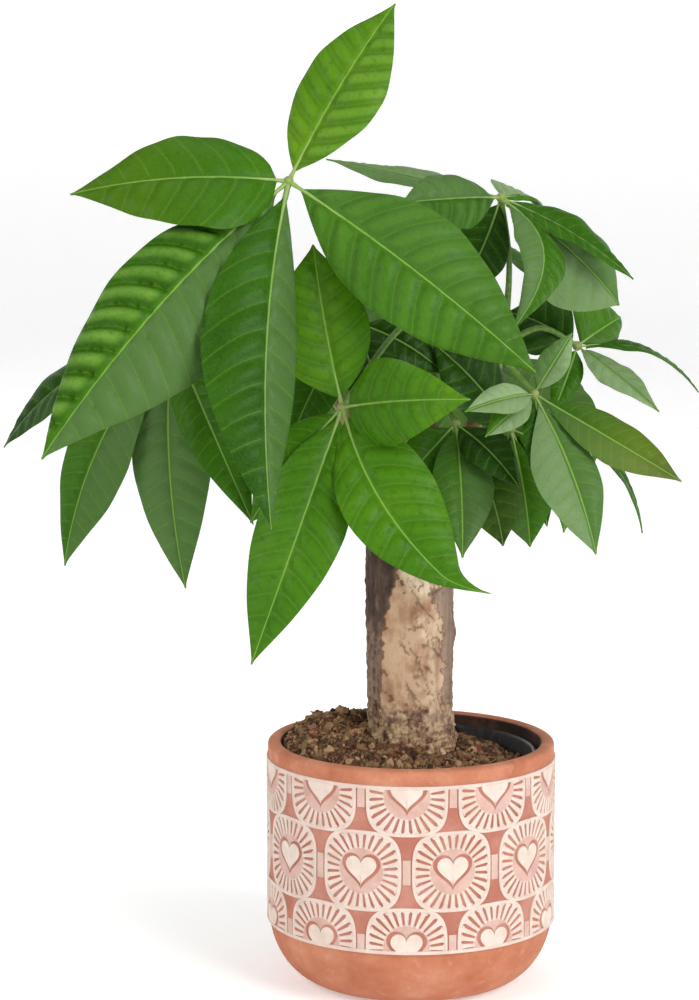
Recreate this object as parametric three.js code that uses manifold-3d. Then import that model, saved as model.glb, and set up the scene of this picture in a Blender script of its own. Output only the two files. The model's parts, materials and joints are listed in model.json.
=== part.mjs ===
// A money tree (Pachira) in a round-bottomed terracotta pot: pot, soil, woody trunk, young shoots and
// palmate leaves. Each leaf is one piece: a leaf stalk, the joint at its end and the leaflets that
// spread from that joint. Millimetres, +Z up. The origin is the centre of the pot's flat base, and
// the plant is seen from -Y with +X to the right.
import * as THREE from "three";
import { mergeVertices } from "three/addons/utils/BufferGeometryUtils.js";
import Module from "manifold-3d";

const wasm = await Module();
wasm.setup();

// Driving dimensions.
const GAP = 0.3; // clearance left between pieces that touch

const POT = {
  height: 107,
  radius: 63.3, // over the patterned band
  bare: 62.6, // below the band, where the clay shows
  rimRadius: 62.8,
  baseRadius: 38.5,
  cavityFoot: 42, // radius of the inside where it turns into the floor
  shoulder: 32, // height where the rounded bottom meets the wall
  band: [26.7, 100.6], // bottom and top of the patterned band
  edge: 0.6, // slope at the band's bottom and top
  lip: 1.8, // height of the rounded lip
  wall: 6,
  floor: 8,
  sides: 40,
};

// The thin nursery pot that the soil came in, standing inside the clay one.
const LINER = {
  height: 94,
  top: 55.2, // radius over its rim
  foot: 41,
  wall: 1.2,
  rim: { out: 1, high: 4 },
  drains: { count: 4, radius: 4, ring: 26 },
  sides: 32,
};

const SOIL = {
  level: 106, // at the pot's axis
  slope: 0.17, // fall towards the right
  crown: 0.0016, // fall away from the axis, per square millimetre
  heap: { x: -26, y: 22, rise: 4.5, spread: 300 },
  lump: 1.5,
  edge: 104.5, // height where it meets the clay wall, and the slope of the bank above that
  bank: 0.9,
  rings: [1, 0.94, 0.87, 0.79, 0.7, 0.6, 0.5, 0.4, 0.2],
  sides: 32,
};

const TRUNK = {
  radius: 17.9,
  topRadius: 19.3,
  foot: 62,
  top: 217,
  flare: { z: 101, out: 1.2, spread: 120 }, // the swelling where it leaves the soil
  lean: 0.6, // how far its upper part stands to the left
  taper: { foot: 0.72, footLength: 8, top: 0.84, topLength: 4 },
  sides: 20,
  rings: 12,
};

const SHOOT = { swell: 0.07, waves: 21, tip: 0.35, sides: 9, steps: 9 };

// A blade's margins curl down about as much as its halves rise, and wave a little. It tapers from
// the widest place, which is at the share "peak" of its length unless the leaflet has its own.
const BLADE = {
  thick: 0.8,
  span: 22, // length of one row of faces
  rise: 0.34,
  curl: 0.36,
  wave: 0.05,
  waves: 9,
  offset: 1.4, // turn between the waves of the two margins
  peak: 0.44,
  tip: 1.2, // how fast it narrows to its tip
  start: 0.04, // share of the length where the blade starts to widen
  drip: 0.87, // share of the length where a bent tip starts to bend
  stem: { share: 0.07, half: 0.95 }, // the short stem, and half its width
  edge: 0.5, // half the width at the very tip
  columns: [-1, -0.55, 0, 0.55, 1],
};

const STALK = { foot: 1.7, end: 1.25, sides: 5, steps: 5, joint: 2.3 };

const COLOURS = {
  terracotta: 0xc9714d,
  plastic: 0x1c1a19,
  soil: 0x3a2a1f,
  bark: 0xa98566,
  shoot: 0x6f7a3a,
  leaf: 0x3f7d1c,
};

// Young shoots, from inside the trunk's top to the growing tip: points on the centreline, then the
// radii at foot and tip.
const SHOOTS = {
  shoot_front: { path: [[4, -6, 204], [6, -12, 236], [7, -15, 270], [6, -17, 306]], radii: [5.4, 2.6] },
  shoot_left: { path: [[-9, 1, 204], [-20, 4, 232], [-34, 6, 262], [-44, 8, 292]], radii: [5, 2.4] },
  shoot_right: { path: [[11, 1, 204], [21, 2, 232], [33, 3, 260], [41, 4, 288]], radii: [5, 2.4] },
  shoot_back: { path: [[-1, 10, 204], [0, 19, 236], [-1, 28, 268], [-2, 33, 302]], radii: [5.2, 2.5] },
};

// The leaves. "foot" is how far up its shoot a leaf stalk springs, "via" a point that the stalk
// bends round, and "face" the way the upper side of the leaf looks. A leaflet is given by its tip
// and its greatest width, how far its midrib arches up and sweeps sideways, and its own face
// where that differs from the leaf's. Where it isn't even, "peak" is the share of its length where it
// is widest, "sides" the widths of its two halves, "fold" how much more each half rises from the
// midrib, or falls if negative, and "drip" how far its very tip is bent. The first half is the one
// on the left when the leaflet hangs down.
const LEAVES = {
  leaf_high_left: {
    shoot: "shoot_left", foot: 0.97, via: [-56, -14, 326], hub: [-52, -60, 354], face: [-0.1, -0.8, 0.6],
    leaflets: [
      { tip: [-8, -30, 426], wide: 36, arch: 5, sweep: 0, sides: [1.08, 0.94] },
      { tip: [-141, -68, 349], wide: 45, arch: 7, sweep: 0, peak: 0.34, sides: [0.95, 1.14] },
      {
        tip: [-150, -112, 246], wide: 53, arch: 10, sweep: -1, peak: 0.48, sides: [0.92, 1.08],
        fold: [0, -0.4],
      },
      {
        tip: [-58, -122, 219], wide: 46, arch: 8, sweep: -7, face: [0.2, -0.8, 0.5], peak: 0.47,
        sides: [1.15, 0.62], fold: [0, -0.7],
      },
      {
        tip: [48, -95, 279], wide: 48, arch: 7, sweep: 0, peak: 0.47, sides: [0.96, 1.08],
        fold: [-0.3, 0],
      },
    ],
  },
  leaf_front_low: {
    shoot: "shoot_front", foot: 0.93, via: [-10, -50, 288], hub: [-30, -72, 262], face: [-0.05, -0.8, 0.5],
    leaflets: [
      { tip: [21, -112, 270], wide: 36, arch: 5, sweep: 1, face: [-0.5, -0.85, 0.1], peak: 0.36 },
      { tip: [20, -104, 189], wide: 39, arch: 6, sweep: -9, sides: [0.86, 1.22], drip: [10, 0, 1] },
      { tip: [-67, -100, 160], wide: 37, arch: 7, sweep: 1.5 },
      { tip: [-68, -72, 214], wide: 27, arch: 5, sweep: 0 },
      { tip: [-42, -60, 328], wide: 36, arch: 3, sweep: 1, sides: [1, 1.3] },
    ],
  },
  leaf_high_right: {
    shoot: "shoot_right", foot: 0.97, via: [41, -12, 318], hub: [37, -20, 345], face: [0.1, -0.7, 0.7],
    leaflets: [
      { tip: [-37, 10, 360], wide: 22, arch: 0, sweep: 0, face: [0, -0.25, 0.97] },
      {
        tip: [-6, -60, 345], wide: 30, arch: 5, sweep: 2, face: [0.1, -0.9, 0.5], peak: 0.56,
        sides: [0.85, 0.95],
      },
      {
        tip: [40, -58, 292], wide: 27, arch: 17, sweep: 4, face: [0.75, -0.6, 0.3],
        sides: [0.72, 1], fold: [-0.5, 0],
      },
      { tip: [18, -8, 302], wide: 24, arch: 4, sweep: 3, face: [-0.1, -0.9, 0.4] },
      {
        tip: [89, -4, 298], wide: 42, arch: 8, sweep: 0, face: [0.1, -0.9, 0.4], peak: 0.55,
        sides: [1.1, 0.66],
      },
      {
        tip: [93, -26, 311], wide: 25, arch: 4, sweep: -1, face: [0.3, -0.4, 0.85],
        sides: [0.75, 1.1],
      },
      {
        tip: [58, 12, 336], wide: 22, arch: 4, sweep: 0, face: [-0.2, -0.7, 0.7], peak: 0.4,
        sides: [0.6, 1.6],
      },
    ],
  },
  leaf_right: {
    shoot: "shoot_front", foot: 0.88, via: [36, -38, 279], hub: [50, -50, 265], face: [0.2, -0.8, 0.5],
    leaflets: [
      { tip: [110, -70, 231], wide: 22, arch: 4, sweep: -2, peak: 0.5 },
      { tip: [74, -85, 203], wide: 26, arch: 5, sweep: 1, peak: 0.52, sides: [1.28, 0.86] },
      { tip: [55, -66, 222], wide: 17, arch: 4, sweep: 0 },
      { tip: [20, -86, 262], wide: 14, arch: 3, sweep: 0 },
      { tip: [29, -66, 249], wide: 14, arch: 3, sweep: 0 },
      { tip: [66, -45, 290], wide: 13, arch: 3, sweep: 0 },
    ],
  },
  leaf_far_right: {
    shoot: "shoot_right", foot: 0.9, via: [56, 8, 287], hub: [72, 10, 279], face: [0.3, -0.5, 0.8],
    leaflets: [
      { tip: [106, -12, 253], wide: 19, arch: 4, sweep: -4 },
      { tip: [127, 26, 257], wide: 18, arch: 9, sweep: 0, face: [0.2, -0.1, 1] },
      {
        tip: [93, 36, 289], wide: 27, arch: 4, sweep: 0, face: [0.1, -0.9, 0.3], sides: [0.6, 1.5],
      },
      { tip: [42, 28, 292], wide: 32, arch: 5, sweep: 0, face: [0, -0.8, 0.5] },
      { tip: [60, -8, 250], wide: 13, arch: 5, sweep: 0 },
    ],
  },
  leaf_right_low: {
    shoot: "shoot_right", foot: 0.55, via: [48, 14, 252], hub: [64, 20, 244], face: [0.4, -0.2, 0.85],
    leaflets: [
      { tip: [102, 14, 196], wide: 12, arch: 9, sweep: 0 },
      { tip: [66, -4, 199], wide: 23, arch: 4, sweep: 0 },
      { tip: [84, 58, 222], wide: 19, arch: 5, sweep: 0 },
      { tip: [28, 46, 220], wide: 26, arch: 4, sweep: 0, face: [0.1, 0.8, 0.6] },
    ],
  },
  leaf_front_right_low: {
    shoot: "shoot_front", foot: 0.45, via: [12, -22, 258], hub: [18, -30, 250], face: [0.2, -0.85, 0.5],
    leaflets: [
      { tip: [38, -40, 199], wide: 26, arch: 4, sweep: 2, peak: 0.52, sides: [1, 1.2] },
      { tip: [20, -64, 198], wide: 24, arch: 4, sweep: 0, sides: [1, 1.2] },
      { tip: [44, -52, 226], wide: 20, arch: 4, sweep: 0 },
      { tip: [-8, -42, 222], wide: 20, arch: 4, sweep: 0 },
    ],
  },
  leaf_inner_right: {
    shoot: "shoot_right", foot: 0.3, via: [34, -8, 246], hub: [42, -16, 246], face: [0.2, -0.8, 0.6],
    leaflets: [
      { tip: [50, -30, 197], wide: 24, arch: 4, sweep: 0, peak: 0.52, sides: [1.25, 1] },
      { tip: [58, -18, 204], wide: 22, arch: 4, sweep: 0 },
      { tip: [74, -14, 226], wide: 18, arch: 4, sweep: 0 },
      { tip: [30, -2, 202], wide: 24, arch: 4, sweep: 0 },
      { tip: [8, -24, 284], wide: 32, arch: 4, sweep: 0 },
    ],
  },
  leaf_left: {
    shoot: "shoot_left", foot: 0.9, via: [-76, -4, 300], hub: [-103, -15, 286], face: [-0.2, -0.75, 0.6],
    leaflets: [
      {
        tip: [-177, 0, 236], wide: 33, arch: 9, sweep: -2, face: [-0.4, -0.45, 0.8],
        sides: [0.9, 1.25],
      },
      { tip: [-149, -25, 188], wide: 31, arch: 8, sweep: -5, peak: 0.52, sides: [0.88, 1.1] },
      { tip: [-97, -30, 179], wide: 36, arch: 8, sweep: -2, sides: [0.92, 1] },
      { tip: [-67, -64, 212], wide: 28, arch: 7, sweep: 0, sides: [0.88, 1] },
      { tip: [-124, 50, 262], wide: 30, arch: 7, sweep: 0, face: [-0.3, -0.1, 0.95] },
    ],
  },
  leaf_back_left: {
    shoot: "shoot_left", foot: 0.6, via: [-50, 38, 274], hub: [-66, 58, 262], face: [-0.3, 0.35, 0.9],
    leaflets: [
      { tip: [-124, 74, 214], wide: 32, arch: 8, sweep: 0 },
      { tip: [-108, 116, 208], wide: 36, arch: 9, sweep: 0 },
      { tip: [-54, 132, 206], wide: 36, arch: 9, sweep: 0 },
      { tip: [-20, 92, 226], wide: 30, arch: 7, sweep: 0 },
      { tip: [-74, 24, 214], wide: 30, arch: 7, sweep: 0 },
    ],
  },
  leaf_back: {
    shoot: "shoot_back", foot: 0.9, via: [-18, 56, 306], hub: [-28, 72, 300], face: [-0.1, 0.4, 0.9],
    leaflets: [
      { tip: [-98, 82, 264], wide: 36, arch: 9, sweep: 0 },
      { tip: [-70, 138, 256], wide: 36, arch: 9, sweep: 0 },
      { tip: [-6, 150, 250], wide: 36, arch: 9, sweep: 0 },
      { tip: [38, 100, 268], wide: 34, arch: 8, sweep: 0 },
      { tip: [-30, 28, 246], wide: 30, arch: 6, sweep: 0, face: [0, 0.7, 0.7] },
    ],
  },
  leaf_back_right: {
    shoot: "shoot_back", foot: 0.75, via: [22, 56, 280], hub: [40, 70, 268], face: [0.25, 0.62, 0.74],
    leaflets: [
      { tip: [90, 86, 226], wide: 30, arch: 8, sweep: 0 },
      { tip: [84, 130, 218], wide: 36, arch: 9, sweep: 0 },
      { tip: [28, 140, 212], wide: 40, arch: 9, sweep: 0 },
      { tip: [2, 84, 216], wide: 38, arch: 6, sweep: 0 },
    ],
  },
  leaf_top_back: {
    shoot: "shoot_back", foot: 0.97, via: [6, 36, 320], hub: [8, 30, 330], face: [0.1, 0.1, 1],
    leaflets: [
      { tip: [-46, 22, 300], wide: 30, arch: 8, sweep: 0 },
      { tip: [-32, 90, 306], wide: 30, arch: 8, sweep: 0 },
      { tip: [38, 96, 300], wide: 30, arch: 8, sweep: 0 },
      { tip: [66, 44, 296], wide: 28, arch: 7, sweep: 0 },
      { tip: [27, -6, 293], wide: 28, arch: 8, sweep: 0, face: [0.5, -0.5, 0.7] },
    ],
  },
  leaf_inner_left: {
    shoot: "shoot_front", foot: 0.7, via: [-12, -16, 288], hub: [-24, -18, 292], face: [-0.2, -0.7, 0.7],
    leaflets: [
      { tip: [-54, -44, 238], wide: 25, arch: 6, sweep: 0 },
      { tip: [-6, -52, 240], wide: 24, arch: 6, sweep: 0 },
      { tip: [-76, 0, 268], wide: 24, arch: 6, sweep: 0 },
      { tip: [14, -22, 270], wide: 21, arch: 5, sweep: 0 },
    ],
  },
};

const point = (p) => new THREE.Vector3(...p);

function curveThrough(points) {
  return new THREE.CatmullRomCurve3(points.map(point), false, "centripetal");
}

// A closed solid from a three.js geometry.
function solid(geometry) {
  const bare = geometry.index ? geometry.toNonIndexed() : geometry.clone();
  for (const name of Object.keys(bare.attributes)) {
    if (name !== "position") bare.deleteAttribute(name);
  }
  const merged = mergeVertices(bare, 1e-4);
  return new wasm.Manifold(
    new wasm.Mesh({
      numProp: 3,
      vertProperties: new Float32Array(merged.attributes.position.array),
      triVerts: new Uint32Array(merged.index.array),
    }),
  );
}

function geometryOf(made) {
  const mesh = made.getMesh();
  const positions = new Float32Array(mesh.numVert * 3);
  for (let i = 0; i < mesh.numVert; i += 1) {
    const start = i * mesh.numProp;
    positions.set(mesh.vertProperties.subarray(start, start + 3), i * 3);
  }
  const geometry = new THREE.BufferGeometry();
  geometry.setAttribute("position", new THREE.BufferAttribute(positions, 3));
  geometry.setIndex(new THREE.BufferAttribute(new Uint32Array(mesh.triVerts), 1));
  geometry.computeVertexNormals();
  return geometry;
}

// The main body of a solid, without the crumbs that a cut leaves and with sealed hollows filled.
function largest(made) {
  const bodies = made.decompose();
  return bodies.sort((one, other) => other.volume() - one.volume())[0];
}

// A skin over rings of points, each ring running anticlockwise seen from the last ring, with both
// ends closed by a fan.
function skin(rings) {
  const count = rings[0].length;
  const positions = [];
  const faces = [];
  for (const ring of rings) {
    for (const p of ring) positions.push(p.x, p.y, p.z);
  }
  for (let i = 0; i + 1 < rings.length; i += 1) {
    for (let j = 0; j < count; j += 1) {
      const a = i * count + j;
      const b = i * count + ((j + 1) % count);
      faces.push(a, b, b + count, a, b + count, a + count);
    }
  }
  const fan = (ring, offset, flip) => {
    const middle = positions.length / 3;
    const centre = ring.reduce((sum, p) => sum.add(p), new THREE.Vector3()).divideScalar(count);
    positions.push(centre.x, centre.y, centre.z);
    for (let j = 0; j < count; j += 1) {
      const a = offset + j;
      const b = offset + ((j + 1) % count);
      faces.push(...(flip ? [middle, b, a] : [middle, a, b]));
    }
  };
  fan(rings[0], 0, true);
  fan(rings[rings.length - 1], (rings.length - 1) * count, false);
  const geometry = new THREE.BufferGeometry();
  geometry.setAttribute("position", new THREE.Float32BufferAttribute(positions, 3));
  geometry.setIndex(faces);
  return geometry;
}

// A round tube along a curve, its radius given at each share of the curve's length.
function tube(curve, radiusAt, sides, steps) {
  const frames = curve.computeFrenetFrames(steps, false);
  const rings = [];
  for (let i = 0; i <= steps; i += 1) {
    const share = i / steps;
    const centre = curve.getPointAt(share);
    const radius = radiusAt(share);
    const ring = [];
    for (let j = 0; j < sides; j += 1) {
      const angle = (2 * Math.PI * j) / sides;
      ring.push(
        centre
          .clone()
          .addScaledVector(frames.normals[i], radius * Math.cos(angle))
          .addScaledVector(frames.binormals[i], radius * Math.sin(angle)),
      );
    }
    rings.push(ring);
  }
  return skin(rings);
}

// A profile for a lathe, built up from straight runs and elliptical arcs.
class Profile {
  constructor(...start) {
    this.points = [new THREE.Vector2(...start)];
  }

  to(radius, height) {
    this.points.push(new THREE.Vector2(radius, height));
    return this;
  }

  arc(centreR, centreZ, radiusR, radiusZ, from, to, steps) {
    for (let i = 0; i <= steps; i += 1) {
      const angle = THREE.MathUtils.degToRad(from + ((to - from) * i) / steps);
      this.to(centreR + radiusR * Math.cos(angle), centreZ + radiusZ * Math.sin(angle));
    }
    return this;
  }

  turned(sides) {
    return new THREE.LatheGeometry(this.points, sides).rotateX(Math.PI / 2);
  }
}

// The clay pot: a flat base, a rounded bottom, the band that stands just proud of it, a rounded lip,
// and the inner wall back down to the floor.
function pot() {
  const { height, radius, bare, rimRadius, baseRadius, shoulder, band, edge, lip, wall, floor } = POT;
  const inner = rimRadius - wall;
  const bend = shoulder + 4; // height where the inside starts to curve in
  return new Profile(0, 0)
    .arc(baseRadius, shoulder, bare - baseRadius, shoulder, -90, -10, 6)
    .to(radius, band[0] + edge)
    .to(radius, band[1] - edge)
    .to(rimRadius, band[1])
    .arc(rimRadius - wall / 2, height - lip, wall / 2, lip, 0, 180, 4)
    .arc(POT.cavityFoot, bend, inner - POT.cavityFoot, bend - floor, 0, -90, 4)
    .to(0, floor)
    .turned(POT.sides);
}

// The nursery pot stands on the clay pot's floor and has drain holes in its own.
function liner() {
  const { height, top, foot, wall, rim, drains, sides } = LINER;
  const under = POT.floor + GAP;
  const over = under + height;
  const shell = new Profile(0, under)
    .to(foot, under)
    .to(top - rim.out, over - rim.high)
    .to(top, over - rim.high)
    .to(top, over)
    .to(top - rim.out - wall, over)
    .to(foot - wall, under + wall)
    .to(0, under + wall)
    .turned(sides);
  let made = solid(shell);
  for (let i = 0; i < drains.count; i += 1) {
    const angle = (2 * Math.PI * (i + 0.5)) / drains.count;
    const hole = new THREE.CylinderGeometry(drains.radius, drains.radius, 4 * wall, 12);
    hole.rotateX(Math.PI / 2);
    hole.translate(drains.ring * Math.cos(angle), drains.ring * Math.sin(angle), under);
    made = made.subtract(solid(hole));
  }
  return made;
}

// Height of the soil: crowned round the trunk, banked up at the left and back of it, low at the
// right, with clods, and no higher at its edge than a bank that falls to the nursery pot's rim.
function soilHeight(x, y, radius) {
  const { level, slope, crown, heap, lump, edge, bank } = SOIL;
  const plane = level - slope * x - crown * (x * x + y * y);
  const raised = heap.rise * Math.exp(-((x - heap.x) ** 2 + (y - heap.y) ** 2) / heap.spread);
  const clods =
    Math.sin(x * 0.31 + 1.3 * Math.sin(y * 0.23)) * Math.cos(y * 0.37 - 0.8 * Math.sin(x * 0.19)) +
    0.5 * Math.sin(x * 0.83 + 2) * Math.sin(y * 0.71 + 1);
  return Math.min(plane + raised + lump * clods, edge + bank * (radius - Math.hypot(x, y)));
}

// The soil fills the nursery pot, and spills over its rim to the clay wall where it is banked up.
function soil() {
  const { top, foot, wall, rim, height } = LINER;
  const under = POT.floor + GAP + wall + GAP;
  const over = POT.floor + GAP + height + GAP;
  const spill = POT.rimRadius - POT.wall - 2 * GAP;
  const beyond = spill + 2; // the cutting body reaches past the soil
  const ringAt = (radius, heightAt) => {
    const ring = [];
    for (let j = 0; j < SOIL.sides; j += 1) {
      const angle = (2 * Math.PI * j) / SOIL.sides;
      const x = radius * Math.cos(angle);
      const y = radius * Math.sin(angle);
      ring.push(new THREE.Vector3(x, y, heightAt(x, y)));
    }
    return ring;
  };
  const rings = [ringAt(spill, () => under)];
  for (const share of SOIL.rings) {
    rings.push(ringAt(spill * share, (x, y) => soilHeight(x, y, spill)));
  }
  const outside = new Profile(foot - wall - GAP, under - 1)
    .to(beyond, under - 1)
    .to(beyond, over)
    .to(top - rim.out - wall - GAP, over)
    .to(foot - wall - GAP, under - 1)
    .turned(SOIL.sides);
  return largest(solid(skin(rings)).subtract(solid(outside)));
}

// The trunk: nearly straight, slightly oval, with shallow flutes, a swollen foot and a few scars
// where old shoots broke off.
const SCARS = [
  { angle: 0.06, z: 154, rise: 1.6, spread: 7 },
  { angle: -1.9, z: 176, rise: 1.6, spread: 6 },
  { angle: 2.3, z: 136, rise: 2.2, spread: 8 },
  { angle: -2.7, z: 196, rise: 2, spread: 6 },
];

function trunkRadius(angle, z) {
  const { flare } = TRUNK;
  const above = THREE.MathUtils.clamp((z - POT.height) / (TRUNK.top - POT.height), 0, 1);
  const mean = THREE.MathUtils.lerp(TRUNK.radius, TRUNK.topRadius, above);
  let radius = mean * (1 + 0.02 * Math.cos(2 * angle + 0.6) + 0.014 * Math.sin(7 * angle + z * 0.03));
  radius += flare.out * Math.exp(-((z - flare.z) ** 2) / flare.spread) * (1 + 0.5 * Math.sin(5 * angle));
  radius -= TRUNK.lean * Math.min(above * 3, 1) * Math.cos(angle);
  for (const scar of SCARS) {
    const turn = Math.atan2(Math.sin(angle - scar.angle), Math.cos(angle - scar.angle));
    const away = (turn * TRUNK.radius) ** 2 + (z - scar.z) ** 2;
    radius += scar.rise * Math.exp(-away / (scar.spread * scar.spread * 0.5));
  }
  return radius;
}

// "extra" makes the trunk fatter, to cut the hole that it stands in.
function trunkSkin(extra = 0) {
  const { foot, top, taper, sides, rings: steps } = TRUNK;
  const low = foot + taper.footLength;
  const high = top - taper.topLength;
  const rings = [];
  const ringAt = (z, shrink) => {
    const ring = [];
    for (let j = 0; j < sides; j += 1) {
      const angle = (2 * Math.PI * j) / sides;
      const radius = trunkRadius(angle, z) * shrink + extra;
      ring.push(new THREE.Vector3(radius * Math.cos(angle), radius * Math.sin(angle), z));
    }
    return ring;
  };
  rings.push(ringAt(foot - extra, taper.foot));
  for (let i = 0; i <= steps; i += 1) {
    rings.push(ringAt(low + ((high - low) * i) / steps, 1));
  }
  rings.push(ringAt(top + extra, taper.top));
  return solid(skin(rings));
}

// A shoot swells a little at its nodes and closes to a blunt growing tip.
function shootSkin({ path, radii }, extra = 0) {
  const radiusAt = (share) => {
    const taper = THREE.MathUtils.lerp(radii[0], radii[1], share);
    const swell = 1 + SHOOT.swell * Math.sin(share * SHOOT.waves);
    return taper * swell * (share === 1 ? SHOOT.tip : 1) + extra;
  };
  return solid(tube(curveThrough(path), radiusAt, SHOOT.sides, SHOOT.steps));
}

// The outline of a leaflet: half its width at each share of its length, 1 at the widest.
function outline(share, peak) {
  const { tip } = BLADE;
  return (share / peak) ** ((tip * peak) / (1 - peak)) * ((1 - share) / (1 - peak)) ** tip;
}

// One leaflet, as a thin blade: it rises a little from the midrib, curls down at its margins and
// waves along them. The rings of points run from its short stem to its tip.
function leaflet(hub, leafFace, spec, phase) {
  const { tip, wide, arch, sweep, face = leafFace, peak = BLADE.peak } = spec;
  const { sides = [1, 1], fold = [0, 0], drip = [0, 0, 0] } = spec;
  const along = point(tip).sub(hub).normalize();
  const from = hub.clone().addScaledVector(along, STALK.joint / 2);
  const length = point(tip).distanceTo(from);
  const out = point(face);
  out.addScaledVector(along, -out.dot(along)).normalize();
  const across = new THREE.Vector3().crossVectors(out, along);
  const spans = THREE.MathUtils.clamp(Math.round(length / BLADE.span), 4, 6);
  const { stem } = BLADE;
  const rings = [];
  for (let i = 0; i <= spans + 1; i += 1) {
    const share = i === 0 ? 0 : stem.share + ((1 - stem.share) * (i - 1)) / spans;
    const grown = outline(Math.max(share - BLADE.start, 0) / (1 - BLADE.start), peak);
    const half = Math.max((wide / 2) * grown, i === 0 ? stem.half : BLADE.edge);
    const bow = 4 * share * (1 - share);
    const hook = Math.max(share - BLADE.drip, 0) / (1 - BLADE.drip);
    const centre = from
      .clone()
      .addScaledVector(along, length * share)
      .addScaledVector(out, arch * bow)
      .addScaledVector(across, sweep * bow)
      .addScaledVector(point(drip), hook * hook);
    const slope = (arch * 4 * (1 - 2 * share)) / length;
    const normal = out.clone().addScaledVector(along, -slope).normalize();
    const row = (down) =>
      BLADE.columns.map((u) => {
        const side = u > 0 ? 1 : 0;
        const far = Math.abs(u) * half * sides[side];
        const bend = half * (BLADE.rise * Math.abs(u) - BLADE.curl * u * u) + fold[side] * far;
        const turn = BLADE.waves * share + phase + (u > 0 ? BLADE.offset : 0);
        const wave = wide * BLADE.wave * u * u * Math.sin(turn) * grown;
        return centre
          .clone()
          .addScaledVector(across, Math.sign(u) * far)
          .addScaledVector(normal, bend + wave - down);
      });
    rings.push([...row(0), ...row(BLADE.thick).reverse()]);
  }
  return rings;
}

// The blade's top and bottom are split the same way, so that they can't cross where it waves.
function bladeSolid(rings) {
  const count = rings[0].length;
  const half = count / 2;
  const positions = rings.flat().flatMap((p) => [p.x, p.y, p.z]);
  const faces = [];
  for (let i = 0; i + 1 < rings.length; i += 1) {
    for (let j = 0; j < count; j += 1) {
      const a = i * count + j;
      const b = i * count + ((j + 1) % count);
      const upper = j < half;
      if (upper) faces.push(a, b + count, b, a, a + count, b + count);
      else faces.push(a, a + count, b, b, a + count, b + count);
    }
  }
  const last = (rings.length - 1) * count;
  for (let j = 0; j + 1 < half; j += 1) {
    const [a, b, c, d] = [j, j + 1, count - 2 - j, count - 1 - j];
    faces.push(a, b, c, a, c, d);
    faces.push(last + a, last + c, last + b, last + a, last + d, last + c);
  }
  const geometry = new THREE.BufferGeometry();
  geometry.setAttribute("position", new THREE.Float32BufferAttribute(positions, 3));
  geometry.setIndex(faces);
  return solid(geometry);
}

// A whole leaf. The stalk tapers over its lower half; "order" sets how the waves of its leaflets
// run, so that no two leaves are alike.
function leaf({ shoot, foot, via, hub, face, leaflets }, order) {
  const start = curveThrough(SHOOTS[shoot].path).getPointAt(foot);
  const stalk = curveThrough([start, via, hub]);
  const taper = (share) => THREE.MathUtils.lerp(STALK.foot, STALK.end, Math.min(share * 2, 1));
  let made = solid(tube(stalk, taper, STALK.sides, STALK.steps));
  const joint = new THREE.IcosahedronGeometry(STALK.joint, 0).translate(...hub);
  made = made.add(solid(joint));
  leaflets.forEach((one, i) => {
    made = made.add(bladeSolid(leaflet(point(hub), face, one, order * 1.7 + i * 2.3)));
  });
  return largest(made.subtract(shootSkin(SHOOTS[shoot], GAP)));
}

const materials = {};
for (const [name, colour] of Object.entries(COLOURS)) {
  const roughness = name === "leaf" ? 0.45 : 0.85;
  materials[name] = new THREE.MeshStandardMaterial({ color: colour, roughness });
}

const tree = new THREE.Group();

function place(name, geometry, material) {
  const mesh = new THREE.Mesh(geometry, materials[material]);
  mesh.name = name;
  tree.add(mesh);
}

place("pot", pot(), "terracotta");
place("grow_pot", geometryOf(liner()), "plastic");
place("soil", geometryOf(soil().subtract(trunkSkin(GAP))), "soil");
place("trunk", geometryOf(trunkSkin()), "bark");
for (const [name, shoot] of Object.entries(SHOOTS)) {
  place(name, geometryOf(shootSkin(shoot).subtract(trunkSkin(GAP))), "shoot");
}
Object.entries(LEAVES).forEach(([name, spec], order) => {
  place(name, geometryOf(leaf(spec, order)), "leaf");
});

export default tree;
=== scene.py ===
import json
import random
from math import atan2, copysign, cos, degrees, exp, hypot, pi, radians, sin, sqrt

import bmesh
import bpy
import numpy as np
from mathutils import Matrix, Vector, noise

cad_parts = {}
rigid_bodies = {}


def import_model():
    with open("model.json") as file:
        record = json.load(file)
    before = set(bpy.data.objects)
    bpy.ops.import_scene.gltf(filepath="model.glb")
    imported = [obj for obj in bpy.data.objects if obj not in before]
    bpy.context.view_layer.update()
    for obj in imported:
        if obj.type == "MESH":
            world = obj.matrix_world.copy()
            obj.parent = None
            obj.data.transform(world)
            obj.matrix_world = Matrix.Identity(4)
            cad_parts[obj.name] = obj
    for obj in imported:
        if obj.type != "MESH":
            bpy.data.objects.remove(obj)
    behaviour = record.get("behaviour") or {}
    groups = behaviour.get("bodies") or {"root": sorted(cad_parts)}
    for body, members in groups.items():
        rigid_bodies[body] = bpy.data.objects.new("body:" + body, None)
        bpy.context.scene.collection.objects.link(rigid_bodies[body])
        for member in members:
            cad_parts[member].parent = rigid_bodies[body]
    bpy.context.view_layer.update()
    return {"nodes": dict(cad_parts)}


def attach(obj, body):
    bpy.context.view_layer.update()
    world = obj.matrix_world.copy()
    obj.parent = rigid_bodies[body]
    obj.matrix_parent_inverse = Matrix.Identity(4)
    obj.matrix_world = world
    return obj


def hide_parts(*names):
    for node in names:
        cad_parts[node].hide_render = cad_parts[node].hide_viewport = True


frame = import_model()
mm = 0.001
print("frame loaded:", len(frame["nodes"]), "nodes")


def colour(red, green, blue):
    # screen colour, 0-255, to the linear one that a shader takes
    return tuple((c / 255 / 12.92) if c < 10 else ((c / 255 + 0.055) / 1.055) ** 2.4
                 for c in (red, green, blue)) + (1.0,)


def ease(low, high, value):
    # 0 below low, 1 above high and smooth between them
    share = min(max((value - low) / (high - low), 0), 1)
    return share * share * (3 - 2 * share)


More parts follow.
